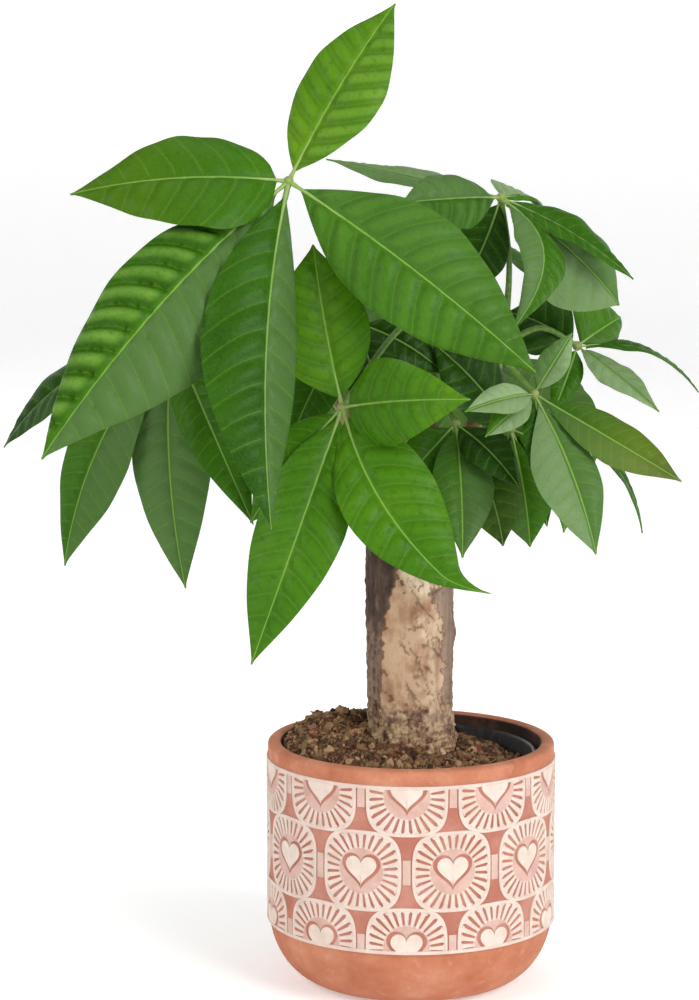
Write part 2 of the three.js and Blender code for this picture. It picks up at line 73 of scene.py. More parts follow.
def circle(steps):
    # the angles of even steps once round
    return np.linspace(0, 2 * pi, steps, endpoint=False)


def linked(name, data):
    made = bpy.data.objects.new(name, data)
    bpy.context.scene.collection.objects.link(made)
    return made


class Value:
    # one socket of a node tree, so that sums on it can be written as sums
    def __init__(self, wiring, socket):
        self.wiring, self.socket = wiring, socket

    def __add__(self, other):
        return self.wiring.maths("ADD", self, other)

    def __radd__(self, other):
        return self.wiring.maths("ADD", other, self)

    def __sub__(self, other):
        return self.wiring.maths("SUBTRACT", self, other)

    def __rsub__(self, other):
        return self.wiring.maths("SUBTRACT", other, self)

    def __mul__(self, other):
        return self.wiring.maths("MULTIPLY", self, other)

    def __rmul__(self, other):
        return self.wiring.maths("MULTIPLY", other, self)

    def __truediv__(self, other):
        return self.wiring.maths("DIVIDE", self, other)

    def __pow__(self, other):
        return self.wiring.maths("POWER", self, other)


class Wiring:
    # a node tree being wired up
    def __init__(self, tree):
        self.tree = tree

    def node(self, kind, settings=None, values=None, output=0):
        made = self.tree.nodes.new(kind)
        for name, value in (settings or {}).items():
            if name == "stops":
                ramp = made.color_ramp.elements
                while len(ramp) < len(value):
                    ramp.new(0.5)
                for stop, (place, shade) in zip(ramp, value):
                    stop.position, stop.color = place, shade
            else:
                setattr(made, name, value)
        for name, value in (values or {}).items():
            self.feed(made.inputs[name], value)
        return Value(self, made.outputs[output])

    def feed(self, socket, value):
        if isinstance(value, Value):
            self.tree.links.new(value.socket, socket)
        else:
            socket.default_value = value

    def maths(self, operation, *values):
        return self.node("ShaderNodeMath", {"operation": operation}, dict(enumerate(values)))

    def smooth(self, value, low, high, start=0.0, end=1.0):
        return self.node("ShaderNodeMapRange", {"interpolation_type": "SMOOTHSTEP"},
                         {"Value": value, 1: low, 2: high, 3: start, 4: end})


class Paint(Wiring):
    # a material: a Principled shader, what is the same all over it, and what varies
    def __init__(self, name, **fixed):
        self.material = bpy.data.materials.new(name)
        self.material.use_nodes = True
        super().__init__(self.material.node_tree)
        self.shader = self.tree.nodes["Principled BSDF"]
        for socket, value in fixed.items():
            self.shader.inputs[socket.replace("_", " ")].default_value = value

    def set(self, socket, value):
        self.feed(self.shader.inputs[socket], value)

    def mark(self, name):
        # a number kept on the piece's own points
        return self.node("ShaderNodeAttribute", {"attribute_name": name}, output="Fac")

    def place(self, stretch=(1, 1, 1)):
        spot = self.node("ShaderNodeTexCoord", output="Object")
        return self.node("ShaderNodeMapping", {}, {"Vector": spot, "Scale": stretch})

    def spots(self, size, detail=3.0, rough=0.5, stretch=(1, 1, 1)):
        # soft noise whose blotches are about that many millimetres across
        values = {"Vector": self.place(stretch), "Scale": 1 / (size * mm)}
        values |= {"Detail": detail, "Roughness": rough}
        return self.node("ShaderNodeTexNoise", {}, values, "Fac")

    def blend(self, first, second, share):
        # each colour is a socket's, or a screen colour
        first, second = (colour(*shade) if isinstance(shade, tuple) else shade for shade in (first, second))
        return self.node("ShaderNodeMix", {"data_type": "RGBA"}, {0: share, 6: first, 7: second}, 2)

    def ramp(self, value, *stops):
        stops = [(place, colour(*shade)) for place, shade in stops]
        return self.node("ShaderNodeValToRGB", {"stops": stops}, {"Fac": value}, "Color")

    def cover(self, shade, rough, height, depth, strength=1.0):
        # what varies over the surface; the depth of its bumps is in millimetres
        values = {"Height": height, "Distance": depth * mm, "Strength": strength}
        self.set("Base Color", shade)
        self.set("Roughness", rough)
        self.set("Normal", self.node("ShaderNodeBump", {}, values, "Normal"))
        return self


class Form:
    # points, faces and marks of one piece, in millimetres
    def __init__(self):
        self.points = []
        self.faces = []
        self.paints = []
        self.marks = {}

    def add(self, points, faces, paint=0, **marks):
        # a mark is one number, or one for each point
        start = len(self.points)
        self.points.extend(tuple(p) for p in points)
        self.faces.extend(tuple(start + i for i in face) for face in faces)
        self.paints.extend([paint] * len(faces))
        for name in set(marks) | set(self.marks):
            values = marks.get(name, 0.0)
            kept = self.marks.setdefault(name, [0.0] * start)
            kept.extend([values] * len(points) if np.isscalar(values) else values)

    def made(self, name, *paints, sharp=None):
        mesh = bpy.data.meshes.new(name)
        mesh.from_pydata([(x * mm, y * mm, z * mm) for x, y, z in self.points], [], self.faces)
        for paint in paints:
            mesh.materials.append(paint.material)
        mesh.polygons.foreach_set("material_index", self.paints)
        mesh.shade_smooth()
        if sharp:
            mesh.set_sharp_from_angle(angle=radians(sharp))
        for mark, values in self.marks.items():
            mesh.attributes.new(mark, "FLOAT", "POINT").data.foreach_set("value", values)
        return linked(name, mesh)


def hoop(rings):
    # faces over rings of points that lead back to the first ring
    count = len(rings[0])
    faces = []
    for i in range(len(rings)):
        step = ((i + 1) % len(rings) - i) * count
        for j in range(count):
            a, b = i * count + j, i * count + (j + 1) % count
            faces.append((a, a + step, b + step, b))
    return [p for ring in rings for p in ring], faces


def skin(rings, closed=True):
    # faces over rings of points, anticlockwise seen from the last ring, with the ends closed by fans
    count = len(rings[0])
    points = [p for ring in rings for p in ring]
    faces = []
    for i in range(len(rings) - 1):
        for j in range(count):
            a, b = i * count + j, i * count + (j + 1) % count
            faces.append((a, b, b + count, a + count))
    if closed:
        for start, turn in ((0, -1), ((len(rings) - 1) * count, 1)):
            middle = len(points)
            points.append(tuple(np.mean([points[start + j] for j in range(count)], axis=0)))
            for j in range(count):
                pair = (start + j, start + (j + 1) % count)
                faces.append((middle, *pair[::turn]))
    return points, faces


def curveThrough(points, steps):
    # a smooth curve through the points, as steps + 1 places at equal lengths along it
    knots = [np.array(p, float) for p in points]
    knots = [2 * knots[0] - knots[1], *knots, 2 * knots[-1] - knots[-2]]
    dense = []
    for before, start, end, after in zip(knots, knots[1:], knots[2:], knots[3:]):
        pairs = ((before, start), (start, end), (end, after))
        t0, t1, t2 = (sqrt(np.linalg.norm(b - a)) for a, b in pairs)
        first = ((start - before) / t0 - (end - before) / (t0 + t1) + (end - start) / t1) * t1
        last = ((end - start) / t1 - (after - start) / (t1 + t2) + (after - end) / t2) * t1
        for t in np.linspace(0, 1, 41)[(1 if dense else 0):]:
            dense.append(start + first * t + (-3 * start + 3 * end - 2 * first - last) * t * t
                         + (2 * start - 2 * end + first + last) * t ** 3)
    dense = np.array(dense)
    lengths = np.concatenate([[0], np.cumsum(np.linalg.norm(np.diff(dense, axis=0), axis=1))])
    even = np.linspace(0, lengths[-1], steps + 1)
    return np.stack([np.interp(even, lengths, dense[:, k]) for k in range(3)], axis=1)


def tube(centres, radii, sides):
    # rings round a line of centres, kept from twisting
    centres = np.array(centres, float)
    tangents = np.gradient(centres, axis=0)
    tangents /= np.linalg.norm(tangents, axis=1)[:, None]
    side = np.cross(tangents[0], (0.3, 0.9, 0.2))
    rings = []
    for centre, tangent, radius in zip(centres, tangents, radii):
        side = side - tangent * side.dot(tangent)
        side /= np.linalg.norm(side)
        other = np.cross(tangent, side)
        rings.append([tuple(centre + radius * (side * cos(a) + other * sin(a)))
                      for a in circle(sides)])
    return skin(rings)


def turned(profile, sides, x=0, y=0):
    # rings of a shape turned about an upright axis
    return [[(x + r * cos(a), y + r * sin(a), z) for a in circle(sides)] for r, z in profile]


def arc(centreR, centreZ, radiusR, radiusZ, start, end, steps):
    turns = np.radians(np.linspace(start, end, steps + 1))
    return [(centreR + radiusR * cos(a), centreZ + radiusZ * sin(a)) for a in turns]


def finished(piece, slot, *nodes):
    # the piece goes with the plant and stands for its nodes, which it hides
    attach(piece, "root")
    if nodes:
        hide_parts(*nodes)
    return piece


def settled(host, name):
    # the result of an object's modifiers, as a plain object in its place
    graph = bpy.context.evaluated_depsgraph_get()
    mesh = bpy.data.meshes.new_from_object(host.evaluated_get(graph), preserve_all_data_layers=True,
                                           depsgraph=graph)
    bpy.data.meshes.remove(host.data)
    mesh.name = name
    return linked(name, mesh)


class Growth(Wiring):
    # a geometry node tree with named inputs, run once on a host object
    def __init__(self, name, **inputs):
        super().__init__(bpy.data.node_groups.new(name, "GeometryNodeTree"))
        self.tree.interface.new_socket("Geometry", in_out="INPUT", socket_type="NodeSocketGeometry")
        for title, kind in inputs.items():
            self.tree.interface.new_socket(title, in_out="INPUT", socket_type="NodeSocket" + kind)
        self.tree.interface.new_socket("Geometry", in_out="OUTPUT", socket_type="NodeSocketGeometry")
        self.given = self.tree.nodes.new("NodeGroupInput")
        self.result = self.tree.nodes.new("NodeGroupOutput")

    def input(self, title):
        return Value(self, self.given.outputs[title])

    def ends(self, geometry, paint):
        whole = self.node("GeometryNodeRealizeInstances", {}, {"Geometry": geometry})
        painted = self.node("GeometryNodeSetMaterial", {}, {"Geometry": whole, "Material": paint.material})
        self.feed(self.result.inputs["Geometry"], painted)

    def run(self, host, name, **inputs):
        modifier = host.modifiers.new(self.tree.name, "NODES")
        modifier.node_group = self.tree
        for item in self.tree.interface.items_tree:
            if item.in_out == "INPUT" and item.name in inputs:
                modifier[item.identifier] = inputs[item.name]
        return settled(host, name)


# the clay pot: a round bottom, a raised band for the ornament and a bare rounded lip
pot = {
    "height": 107, "ground": 62.9, "bare": 62.6, "rim": 62.8, "base": 38.5, "shoulder": 32,
    "band": (26.7, 100.6), "lip": 1.8, "wall": 6, "floor": 8, "cavityFoot": 42, "sides": 180,
    "wobble": 0.0022,
}


def clayPaint():
    paint = Paint("terracotta", Roughness=0.82, Specular_IOR_Level=0.3)
    inside, band = map(paint.mark, ("inside", "band"))
    cloud = paint.spots(16, 4, 0.6)
    grain = paint.spots(0.9, 4, 0.7)
    rings = paint.spots(2.4, 3, 0.5, (0.06, 0.06, 1))
    bare = paint.ramp(cloud, (0.3, (168, 100, 71)), (0.52, (182, 115, 85)), (0.72, (194, 134, 106)))
    # pale whitened patches, the clay's own colour
    bloom = paint.smooth(paint.spots(5, 5, 0.65), 0.55, 0.78, 0, 0.35)
    bare = paint.blend(bare, (218, 174, 152), bloom)
    bare = paint.blend(bare, (158, 86, 62), paint.smooth(grain, 0.6, 0.78, 0, 0.45))
    sunk = paint.blend((168, 104, 86), (184, 128, 112), paint.smooth(cloud + grain * 0.3, 0.5, 0.85))
    outside = paint.blend(bare, sunk, band)
    # the inside wall painted a dark brown, darker than the clay outside
    darkInside = paint.blend((52, 36, 30), (92, 62, 48), paint.smooth(cloud, 0.45, 0.7))
    return paint.cover(paint.blend(outside, darkInside, inside), 0.72 + grain * 0.18,
                       grain * 0.5 + rings * 0.35 + bloom * 0.3, 0.22, 0.8)


def clayPot(paint):
    low, high = pot["band"]
    inner = pot["rim"] - pot["wall"]
    bend = pot["shoulder"] + 4
    base, shoulder, ground, rim, foot = map(pot.get, ("base", "shoulder", "ground", "rim", "cavityFoot"))
    profile = [(0.01, 0), (base * 0.5, 0), (base - 1.5, 0)]
    profile += arc(base, shoulder, pot["bare"] - base, shoulder, -88, -10, 26)
    profile += [(pot["bare"] - 0.02, low), (ground - 0.04, low + 0.18), (ground, low + 0.45)]
    profile += [(ground, z) for z in np.linspace(low + 2, high - 2, 30)]
    profile += [(ground, high - 0.45), (ground - 0.04, high - 0.18), (rim, high)]
    profile += [(rim, high + 1.5), (rim, high + 3)]
    half, lip = pot["wall"] / 2, pot["lip"]
    profile += arc(rim - half, pot["height"] - lip, half, lip, 0, 180, 14)
    lipEnd = len(profile)
    profile += arc(foot, bend, inner - foot, bend - pot["floor"], 0, -90, 12)
    profile += [(foot / 2, pot["floor"]), (0.01, pot["floor"])]
    points, faces = skin(turned(profile, pot["sides"]))
    thrown = []  # thrown clay is never quite round
    for x, y, z in points:
        swell = 1 + pot["wobble"] * noise.noise(Vector((x, y, z * 1.6)) * 0.016)
        thrown.append((x * swell, y * swell, z))
    inside = np.repeat([0.0, 1.0], np.array([lipEnd - 3, len(profile) - lipEnd + 3]) * pot["sides"])
    inside = [*inside, 0.0, 1.0]  # and the two poles
    band = [ease(low - 0.1, low + 0.3, z) * (1 - ease(high - 0.3, high + 0.1, z)) * (1 - back)
            for (_, _, z), back in zip(points, inside)]
    form = Form()
    form.add(thrown, faces, inside=inside, band=band)
    return finished(form.made("clayPot", paint, sharp=50), "terracotta", "pot")


# the ornament: three rows of hearts in rounded squares of short strokes, the outer rows cut by the band
ornament = {
    "around": 10, "rows": 33, "middle": 62.9, "turn": -20.6, "radius": 16.8, "square": 3.3, "line": 1.5,
    "strokes": 28, "strokeFrom": 9.8, "strokeShare": 0.6, "field": 10.4, "heart": 6.9,
    "groove": (1.25, -0.35), "pillar": (1.7, 5.4), "tie": 1.3, "edge": 1.5, "lift": 0.05, "trim": 1.9,
    "proud": 0.5, "low": 0.34, "wash": 0.3, "bevel": 0.2, "sunk": 0.5,
}


def heartPoint(turn, size):
    # a heart about its own middle, size being half its width
    x = 16 * sin(turn) ** 3
    y = 13 * cos(turn) - 5 * cos(2 * turn) - 2 * cos(3 * turn) - cos(4 * turn)
    return (x * size / 16, (y + 2.4) * size / 16)


def raised(form, outline, height, slip, shrink=()):
    # a low plateau with a bevelled edge over an outline that runs anticlockwise seen from outside
    points = np.array(outline)
    middle = points.mean(axis=0)
    edges = np.roll(points, -1, axis=0) - np.roll(points, 1, axis=0)
    inward = np.stack([-edges[:, 1], edges[:, 0]], axis=1)
    inward /= np.linalg.norm(inward, axis=1)[:, None]
    inset = points + inward * ornament["bevel"]
    levels = [(points, -ornament["sunk"]), (points, height - ornament["bevel"]), (inset, height)]
    levels += [(middle + (inset - middle) * share, height) for share in shrink]
    rings = [[(x, -out, z) for x, z in level] for level, out in levels]
    form.add(*skin(rings), slip=slip)


def raisedRing(form, inner, outer, height, slip, steps=1):
    # a flat ring between two outlines with the same number of points, in steps where it is wide
    bevel = ornament["bevel"]
    inner, outer = np.array(inner), np.array(outer)
    wide = np.linalg.norm(outer - inner, axis=1)[:, None]
    lean = (outer - inner) / wide * bevel
    levels = [(inner, -ornament["sunk"]), (inner, height - bevel)]
    across = outer - inner - 2 * lean
    levels += [(inner + lean + across * share, height) for share in np.linspace(0, 1, steps + 1)]
    levels += [(outer, height - bevel), (outer, -ornament["sunk"])]
    form.add(*hoop([[(x, -out, z) for x, z in level] for level, out in levels]), slip=slip)


def rounded(turn, radius):
    # a point of a rounded square
    power = ornament["square"]
    reach = radius / (abs(cos(turn)) ** power + abs(sin(turn)) ** power) ** (1 / power)
    return (reach * cos(turn), reach * sin(turn))


def medallion():
    form = Form()
    heart = [heartPoint(a, ornament["heart"]) for a in circle(40)[::-1]]  # anticlockwise
    raised(form, heart, ornament["proud"], 1.0, (0.7, 0.35))
    # a low field from the groove round the heart to the feet of the strokes
    widen, drop = ornament["groove"]
    groove = np.array([heartPoint(a, ornament["heart"] * widen) for a in circle(80)[::-1]]) + (0, drop)
    field = ornament["field"] * groove / np.linalg.norm(groove, axis=1)[:, None]
    raisedRing(form, groove, field, ornament["wash"], 0.5, 3)
    # the outline, and strokes that widen towards it
    inside, outside = (ornament["radius"] + side * ornament["line"] / 2 for side in (-1, 1))
    square = [[rounded(a, reach) for a in circle(96)] for reach in (inside, outside)]
    raisedRing(form, *square, ornament["proud"], 0.85)
    step = 2 * pi / ornament["strokes"]
    wide = step / 2 * ornament["strokeShare"]
    start = ornament["strokeFrom"]
    for i in range(ornament["strokes"]):
        a = step * i
        end = hypot(*rounded(a, inside))
        half = [(start, 1), (end - 0.9, 1), (end - 0.3, 1.25), (end + 0.25, 1.6)]
        stroke = [(start, wide)] + [(r, -wide * flare) for r, flare in half]
        stroke += [(r, wide * flare) for r, flare in half[:0:-1]]
        stroke = [(r * cos(a + t), r * sin(a + t)) for r, t in stroke]
        raised(form, stroke, ornament["proud"] - 0.04, 0.85)
    # a bar between two medallions
    wide, high = ornament["pillar"]
    pitch = 2 * pi * pot["ground"] / ornament["around"]
    bar = [(pitch / 2 + x, z) for x, z in ((wide, -high), (wide, high), (-wide, high), (-wide, -high))]
    raised(form, bar, ornament["low"], 0.6)
    return form


def cutBand(form, name, low, high):
    # the medallion as a plain object, cut level where the band ends
    piece = form.made(name)
    mesh = bmesh.new()
    mesh.from_mesh(piece.data)
    for height, side in ((low, -1), (high, 1)):
        everything = mesh.verts[:] + mesh.edges[:] + mesh.faces[:]
        bmesh.ops.bisect_plane(mesh, geom=everything, plane_co=(0, 0, height * mm), plane_no=(0, 0, side),
                               clear_outer=True, dist=1e-6)
        bmesh.ops.holes_fill(mesh, edges=[edge for edge in mesh.edges if edge.is_boundary])
    bmesh.ops.recalc_face_normals(mesh, faces=mesh.faces[:])
    mesh.to_mesh(piece.data)
    mesh.free()
    return piece


def slipPaint():
    # cream slip, worn thin where it is low, over the clay
    paint = Paint("creamSlip", Roughness=0.78, Specular_IOR_Level=0.3)
    slip = paint.mark("slip")
    cloud = paint.spots(9, 4, 0.6)
    grain = paint.spots(0.7, 4, 0.7)
    thick = paint.ramp(cloud, (0.32, (206, 186, 173)), (0.6, (219, 205, 193)), (0.8, (212, 193, 181)))
    thin = paint.ramp(cloud, (0.35, (184, 138, 124)), (0.65, (202, 164, 152)))
    worn = paint.smooth(grain + cloud * 0.25, 0.66, 0.9, 0, 0.5)
    coat = paint.blend(thin, thick, paint.smooth(slip, 0.3, 1.0))
    return paint.cover(paint.blend(coat, (188, 128, 108), worn), 0.7 + grain * 0.2, grain, 0.16, 0.8)


def wrapTree():
    # copies of a flat tile, set side by side and bent round the wall
    growth = Growth("wrapRoundPot", tile="Object", around="Int", pitch="Float", wallRadius="Float",
                    rowHeight="Float", turn="Float")
    step = growth.node("ShaderNodeCombineXYZ", {}, {"X": growth.input("pitch")})
    places = growth.node("GeometryNodeMeshLine", {"mode": "OFFSET"},
                         {"Count": growth.input("around"), "Offset": step})
    tile = growth.node("GeometryNodeObjectInfo", {}, {"Object": growth.input("tile")}, "Geometry")
    tiles = growth.node("GeometryNodeInstanceOnPoints", {}, {"Points": places, "Instance": tile})
    tiles = growth.node("GeometryNodeRealizeInstances", {}, {"Geometry": tiles})
    spot = growth.node("GeometryNodeInputPosition")
    split = growth.tree.nodes.new("ShaderNodeSeparateXYZ")
    growth.feed(split.inputs[0], spot)
    x, y, z = (Value(growth, socket) for socket in split.outputs)
    angle = x / growth.input("wallRadius") + growth.input("turn")
    reach = growth.input("wallRadius") - y
    bent = growth.node("ShaderNodeCombineXYZ", {}, {
        "X": reach * growth.maths("SINE", angle),
        "Y": reach * growth.maths("COSINE", angle) * -1.0,
        "Z": z + growth.input("rowHeight"),
    })
    return growth, growth.node("GeometryNodeSetPosition", {}, {"Geometry": tiles, "Position": bent})


def potOrnament(paint):
    low, high = pot["band"]
    flat = medallion()
    growth, wrapped = wrapTree()
    growth.ends(wrapped, paint)
    rows = []
    for name, row in (("lowerRow", -1), ("middleRow", 0), ("upperRow", 1)):
        height = ornament["middle"] + row * ornament["rows"]
        wall = pot["ground"] + ornament["lift"] * (row + 1)  # where two rows meet, the upper one is on top
        ends = (low + ornament["trim"] - height, high - ornament["trim"] - height)
        tile = cutBand(flat, name + "Tile", *ends)
        host = linked(name + "Host", bpy.data.meshes.new(name))
        turn = radians(ornament["turn"] + (180 / ornament["around"] if row else 0))
        pitch = 2 * pi * wall / ornament["around"]
        rows.append(growth.run(host, name, tile=tile, around=ornament["around"], rowHeight=height * mm,
                               turn=turn, pitch=pitch * mm, wallRadius=wall * mm))
        bpy.data.objects.remove(tile)
    form = Form()
    edge, tie, inner = ornament["edge"] / 2, ornament["tie"] / 2, pot["ground"] - 0.4
    ties = [(ornament["middle"] + side * ornament["rows"] / 2, tie, ornament["low"]) for side in (-1, 1)]
    edges = [(z, edge, ornament["proud"] + 0.1) for z in (low + 0.45 + edge, high - 0.45 - edge)]
    for z, half, proud in ties + edges:
        outer = pot["ground"] + proud
        section = [(inner, z - half), (outer - 0.15, z - half), (outer, z - half + 0.15),
                   (outer, z + half - 0.15), (outer - 0.15, z + half), (inner, z + half)]
        rings = [[(r * cos(a), r * sin(a), h) for r, h in section] for a in circle(240)]
        form.add(*hoop(rings), slip=0.8)
    lines = form.made("slipLines", paint)
    whole = joined("potOrnament", paint, rows + [lines])
    whole.data.set_sharp_from_angle(angle=radians(35))
    return finished(whole, "terracotta")


def joined(name, paint, pieces):
    # several plain objects made one, their marks kept
    mesh = bmesh.new()
    for piece in pieces:
        mesh.from_mesh(piece.data)
        bpy.data.objects.remove(piece)
    for face in mesh.faces:
        face.material_index = 0
    whole = bpy.data.meshes.new(name)
    mesh.to_mesh(whole)
    mesh.free()
    whole.materials.append(paint.material)
    whole.shade_smooth()
    return linked(name, whole)


# the thin black nursery pot inside, its rolled rim just below the clay lip
nursery = {"under": 8.3, "height": 94, "top": 55.2, "foot": 41, "wall": 1.2, "rimHigh": 4, "drains": 4,
           "drain": 4, "ring": 26, "sides": 120}


def plasticPaint():
    paint = Paint("nurseryPlastic", Roughness=0.5, Specular_IOR_Level=0.4)
    dust = paint.smooth(paint.spots(4, 5, 0.7), 0.5, 0.75)
    return paint.cover(paint.blend((24, 23, 23), (70, 66, 62), dust), 0.42 + dust * 0.35,
                       paint.spots(0.8, 3), 0.08, 0.6)


def nurseryPot(paint):
    under, top, foot, wall = (nursery[key] for key in ("under", "top", "foot", "wall"))
    over = under + nursery["height"]
    profile = [(0.01, under), (foot - 1, under), (foot, under + 1)]
    profile += [(top - 1, over - nursery["rimHigh"]), (top - 0.4, over - nursery["rimHigh"] - 0.2)]
    profile += [(top, over - nursery["rimHigh"] + 0.4), (top, over - 1.2)]
    profile += arc(top - 1.1, over - 1.1, 1.1, 1.1, 10, 170, 8)
    profile += [(foot - wall, under + wall + 1), (foot - wall - 1, under + wall), (0.01, under + wall)]
    form = Form()
    form.add(*skin(turned(profile, nursery["sides"])))
    piece = form.made("nurseryPot", paint, sharp=45)
    drill = Form()
    for i in range(nursery["drains"]):
        turn = 2 * pi * (i + 0.5) / nursery["drains"]
        x, y = nursery["ring"] * cos(turn), nursery["ring"] * sin(turn)
        drill.add(*skin(turned([(nursery["drain"], under - 3), (nursery["drain"], under + 5)], 32, x, y)))
    cutter = drill.made("drains")
    cut = piece.modifiers.new("drains", "BOOLEAN")
    cut.operation, cut.solver, cut.object = "DIFFERENCE", "EXACT", cutter
    done = settled(piece, "nurseryPot")
    bpy.data.objects.remove(cutter)
    return finished(done, "plastic", "grow_pot")


clayPot(clayPaint())
potOrnament(slipPaint())
nurseryPot(plasticPaint())
print("pot, ornament and nursery pot made")


# the potting mix: banked up at the left, low at the right, lumpy, with crumbs, chips and fibres on it
soil = {
    "level": 106, "slope": 0.17, "crown": 0.0016, "heap": (-26, 22, 4.5, 300), "lump": 1.5,
    "edge": 104.5, "bank": 0.9, "inPot": 52.6, "overRim": 56.1, "rim": 102.7, "under": 10, "foot": 39.4,
    "rings": 46, "sides": 168, "fine": 1.5,
}
trunk = {
    "radius": 17.9, "topRadius": 19.3, "foot": 62, "top": 217, "flare": (101, 1.2, 120), "lean": 0.6,
    "taper": (0.72, 8, 0.84, 4), "rows": 250, "sides": 168,
    # where old shoots broke off: angle in radians, height, how far it stands out, how wide
    "scars": [(0.06, 154, 1.6, 7), (-1.9, 176, 1.6, 6), (2.3, 136, 2.2, 8), (-2.7, 196, 2, 6)],
}


def soilHeight(x, y):
    heapX, heapY, rise, spread = soil["heap"]
    plane = soil["level"] - soil["slope"] * x - soil["crown"] * (x * x + y * y)
    raisedBy = rise * exp(-((x - heapX) ** 2 + (y - heapY) ** 2) / spread)
    clods = (sin(x * 0.31 + 1.3 * sin(y * 0.23)) * cos(y * 0.37 - 0.8 * sin(x * 0.19))
             + 0.5 * sin(x * 0.83 + 2) * sin(y * 0.71 + 1))
    bank = soil["edge"] + soil["bank"] * (soil["overRim"] + 0.1 - hypot(x, y))
    return min(plane + raisedBy + soil["lump"] * clods, bank)


def soilSurface(x, y):
    crumbly = noise.fractal(Vector((x, y, 3.0)) * 0.28, 0.9, 2.1, 5)
    return soilHeight(x, y) + soil["fine"] * crumbly


def trunkRadius(angle, z):
    level, out, spread = trunk["flare"]
    above = min(max((z - pot["height"]) / (trunk["top"] - pot["height"]), 0), 1)
    mean = trunk["radius"] + (trunk["topRadius"] - trunk["radius"]) * above
    radius = mean * (1 + 0.02 * cos(2 * angle + 0.6) + 0.014 * sin(7 * angle + z * 0.03))
    radius += out * exp(-((z - level) ** 2) / spread) * (1 + 0.5 * sin(5 * angle))
    radius -= trunk["lean"] * min(above * 3, 1) * cos(angle)
    for turn, height, rise, wide in trunk["scars"]:
        apart = atan2(sin(angle - turn), cos(angle - turn)) * trunk["radius"]
        radius += rise * exp(-(apart ** 2 + (z - height) ** 2) / (wide * wide * 0.5))
    return radius


def soilReach(angle):
    # the mix covers the nursery pot's rim only where it is banked higher than that rim
    c, s = cos(angle), sin(angle)
    over = soilHeight(c * soil["overRim"], s * soil["overRim"]) - soil["rim"]
    return soil["inPot"] + (soil["overRim"] - soil["inPot"]) * ease(0.2, 1.6, over)


def soilRings(start=0.0, end=1.0):
    # rings of the top surface, from the trunk (share 0) out to the edge (share 1)
    rings = []
    for share in np.linspace(start, end, soil["rings"]):
        ring = []
        for a in circle(soil["sides"]):
            inner = trunkRadius(a, soil["level"]) + 0.15
            r = inner + (soilReach(a) - inner) * share
            x, y = r * cos(a), r * sin(a)
            ring.append((x, y, soilSurface(x, y)))
        rings.append(ring)
    return rings


def soilPaint():
    paint = Paint("pottingMix", Roughness=0.95, Specular_IOR_Level=0.2)
    cloud = paint.spots(7, 5, 0.65)
    grain = paint.spots(1.3, 5, 0.7)
    dark = paint.ramp(grain, (0.3, (40, 27, 20)), (0.5, (84, 58, 40)), (0.68, (136, 100, 70)))
    olive = paint.blend(dark, (96, 84, 50), paint.smooth(cloud, 0.55, 0.75, 0, 0.5))
    return paint.cover(olive, 0.88 + grain * 0.1, grain + cloud * 0.5, 1.2)


def crumbPaint(name, stops, gloss=0.9):
    # each crumb has a shade of its own
    paint = Paint(name, Roughness=gloss, Specular_IOR_Level=0.25)
    grain = paint.spots(0.8, 4, 0.65)
    base = paint.ramp(paint.mark("shade"), *stops)
    return paint.cover(paint.blend(base, (40, 28, 20), paint.smooth(grain, 0.52, 0.75, 0, 0.6)),
                       gloss - 0.15 + grain * 0.2, grain, 0.5)


def soilBed(paint):
    foot, under, inPot, rim = (soil[key] for key in ("foot", "under", "inPot", "rim"))
    columns = []  # the outside from its foot to the ledge under the surface, and the hole for the trunk
    for a in circle(soil["sides"]):
        reach = soilReach(a)
        surface = soilSurface(reach * cos(a), reach * sin(a))
        ledge = min(surface - 0.6, rim) if reach < soil["overRim"] - 2 else rim
        column = [(foot - 1, under), (foot, under + 1), (inPot, min(ledge, rim) - 0.4), (reach, ledge)]
        column += [(trunkRadius(a, 95) + 0.3, 95), (trunkRadius(a, 75) + 0.3, 72)]
        column += [(trunk["radius"] * 0.8, trunk["foot"] - 0.4)]
        columns.append([(r * cos(a), r * sin(a), z) for r, z in column])
    rings = list(zip(*columns))
    form = Form()
    form.add(*skin(rings[:4] + soilRings()[::-1] + rings[4:]))
    return finished(form.made("soilBed", paint), "soil", "soil")


def lumps(name, shapes, steps, seed):
    # rough stones or chips to scatter, each about one unit across
    draw = random.Random(seed)
    group = bpy.data.collections.new(name)
    bpy.context.scene.collection.children.link(group)
    for stretch in shapes:
        mesh = bmesh.new()
        bmesh.ops.create_icosphere(mesh, subdivisions=steps, radius=0.5)
        for vert in mesh.verts:
            dent = 1 + draw.uniform(-0.28, 0.2)
            vert.co = Vector(c * dent * s for c, s in zip(vert.co, stretch))
        made = bpy.data.meshes.new(name)
        mesh.to_mesh(made)
        mesh.free()
        group.objects.link(bpy.data.objects.new(name, made))
    return group


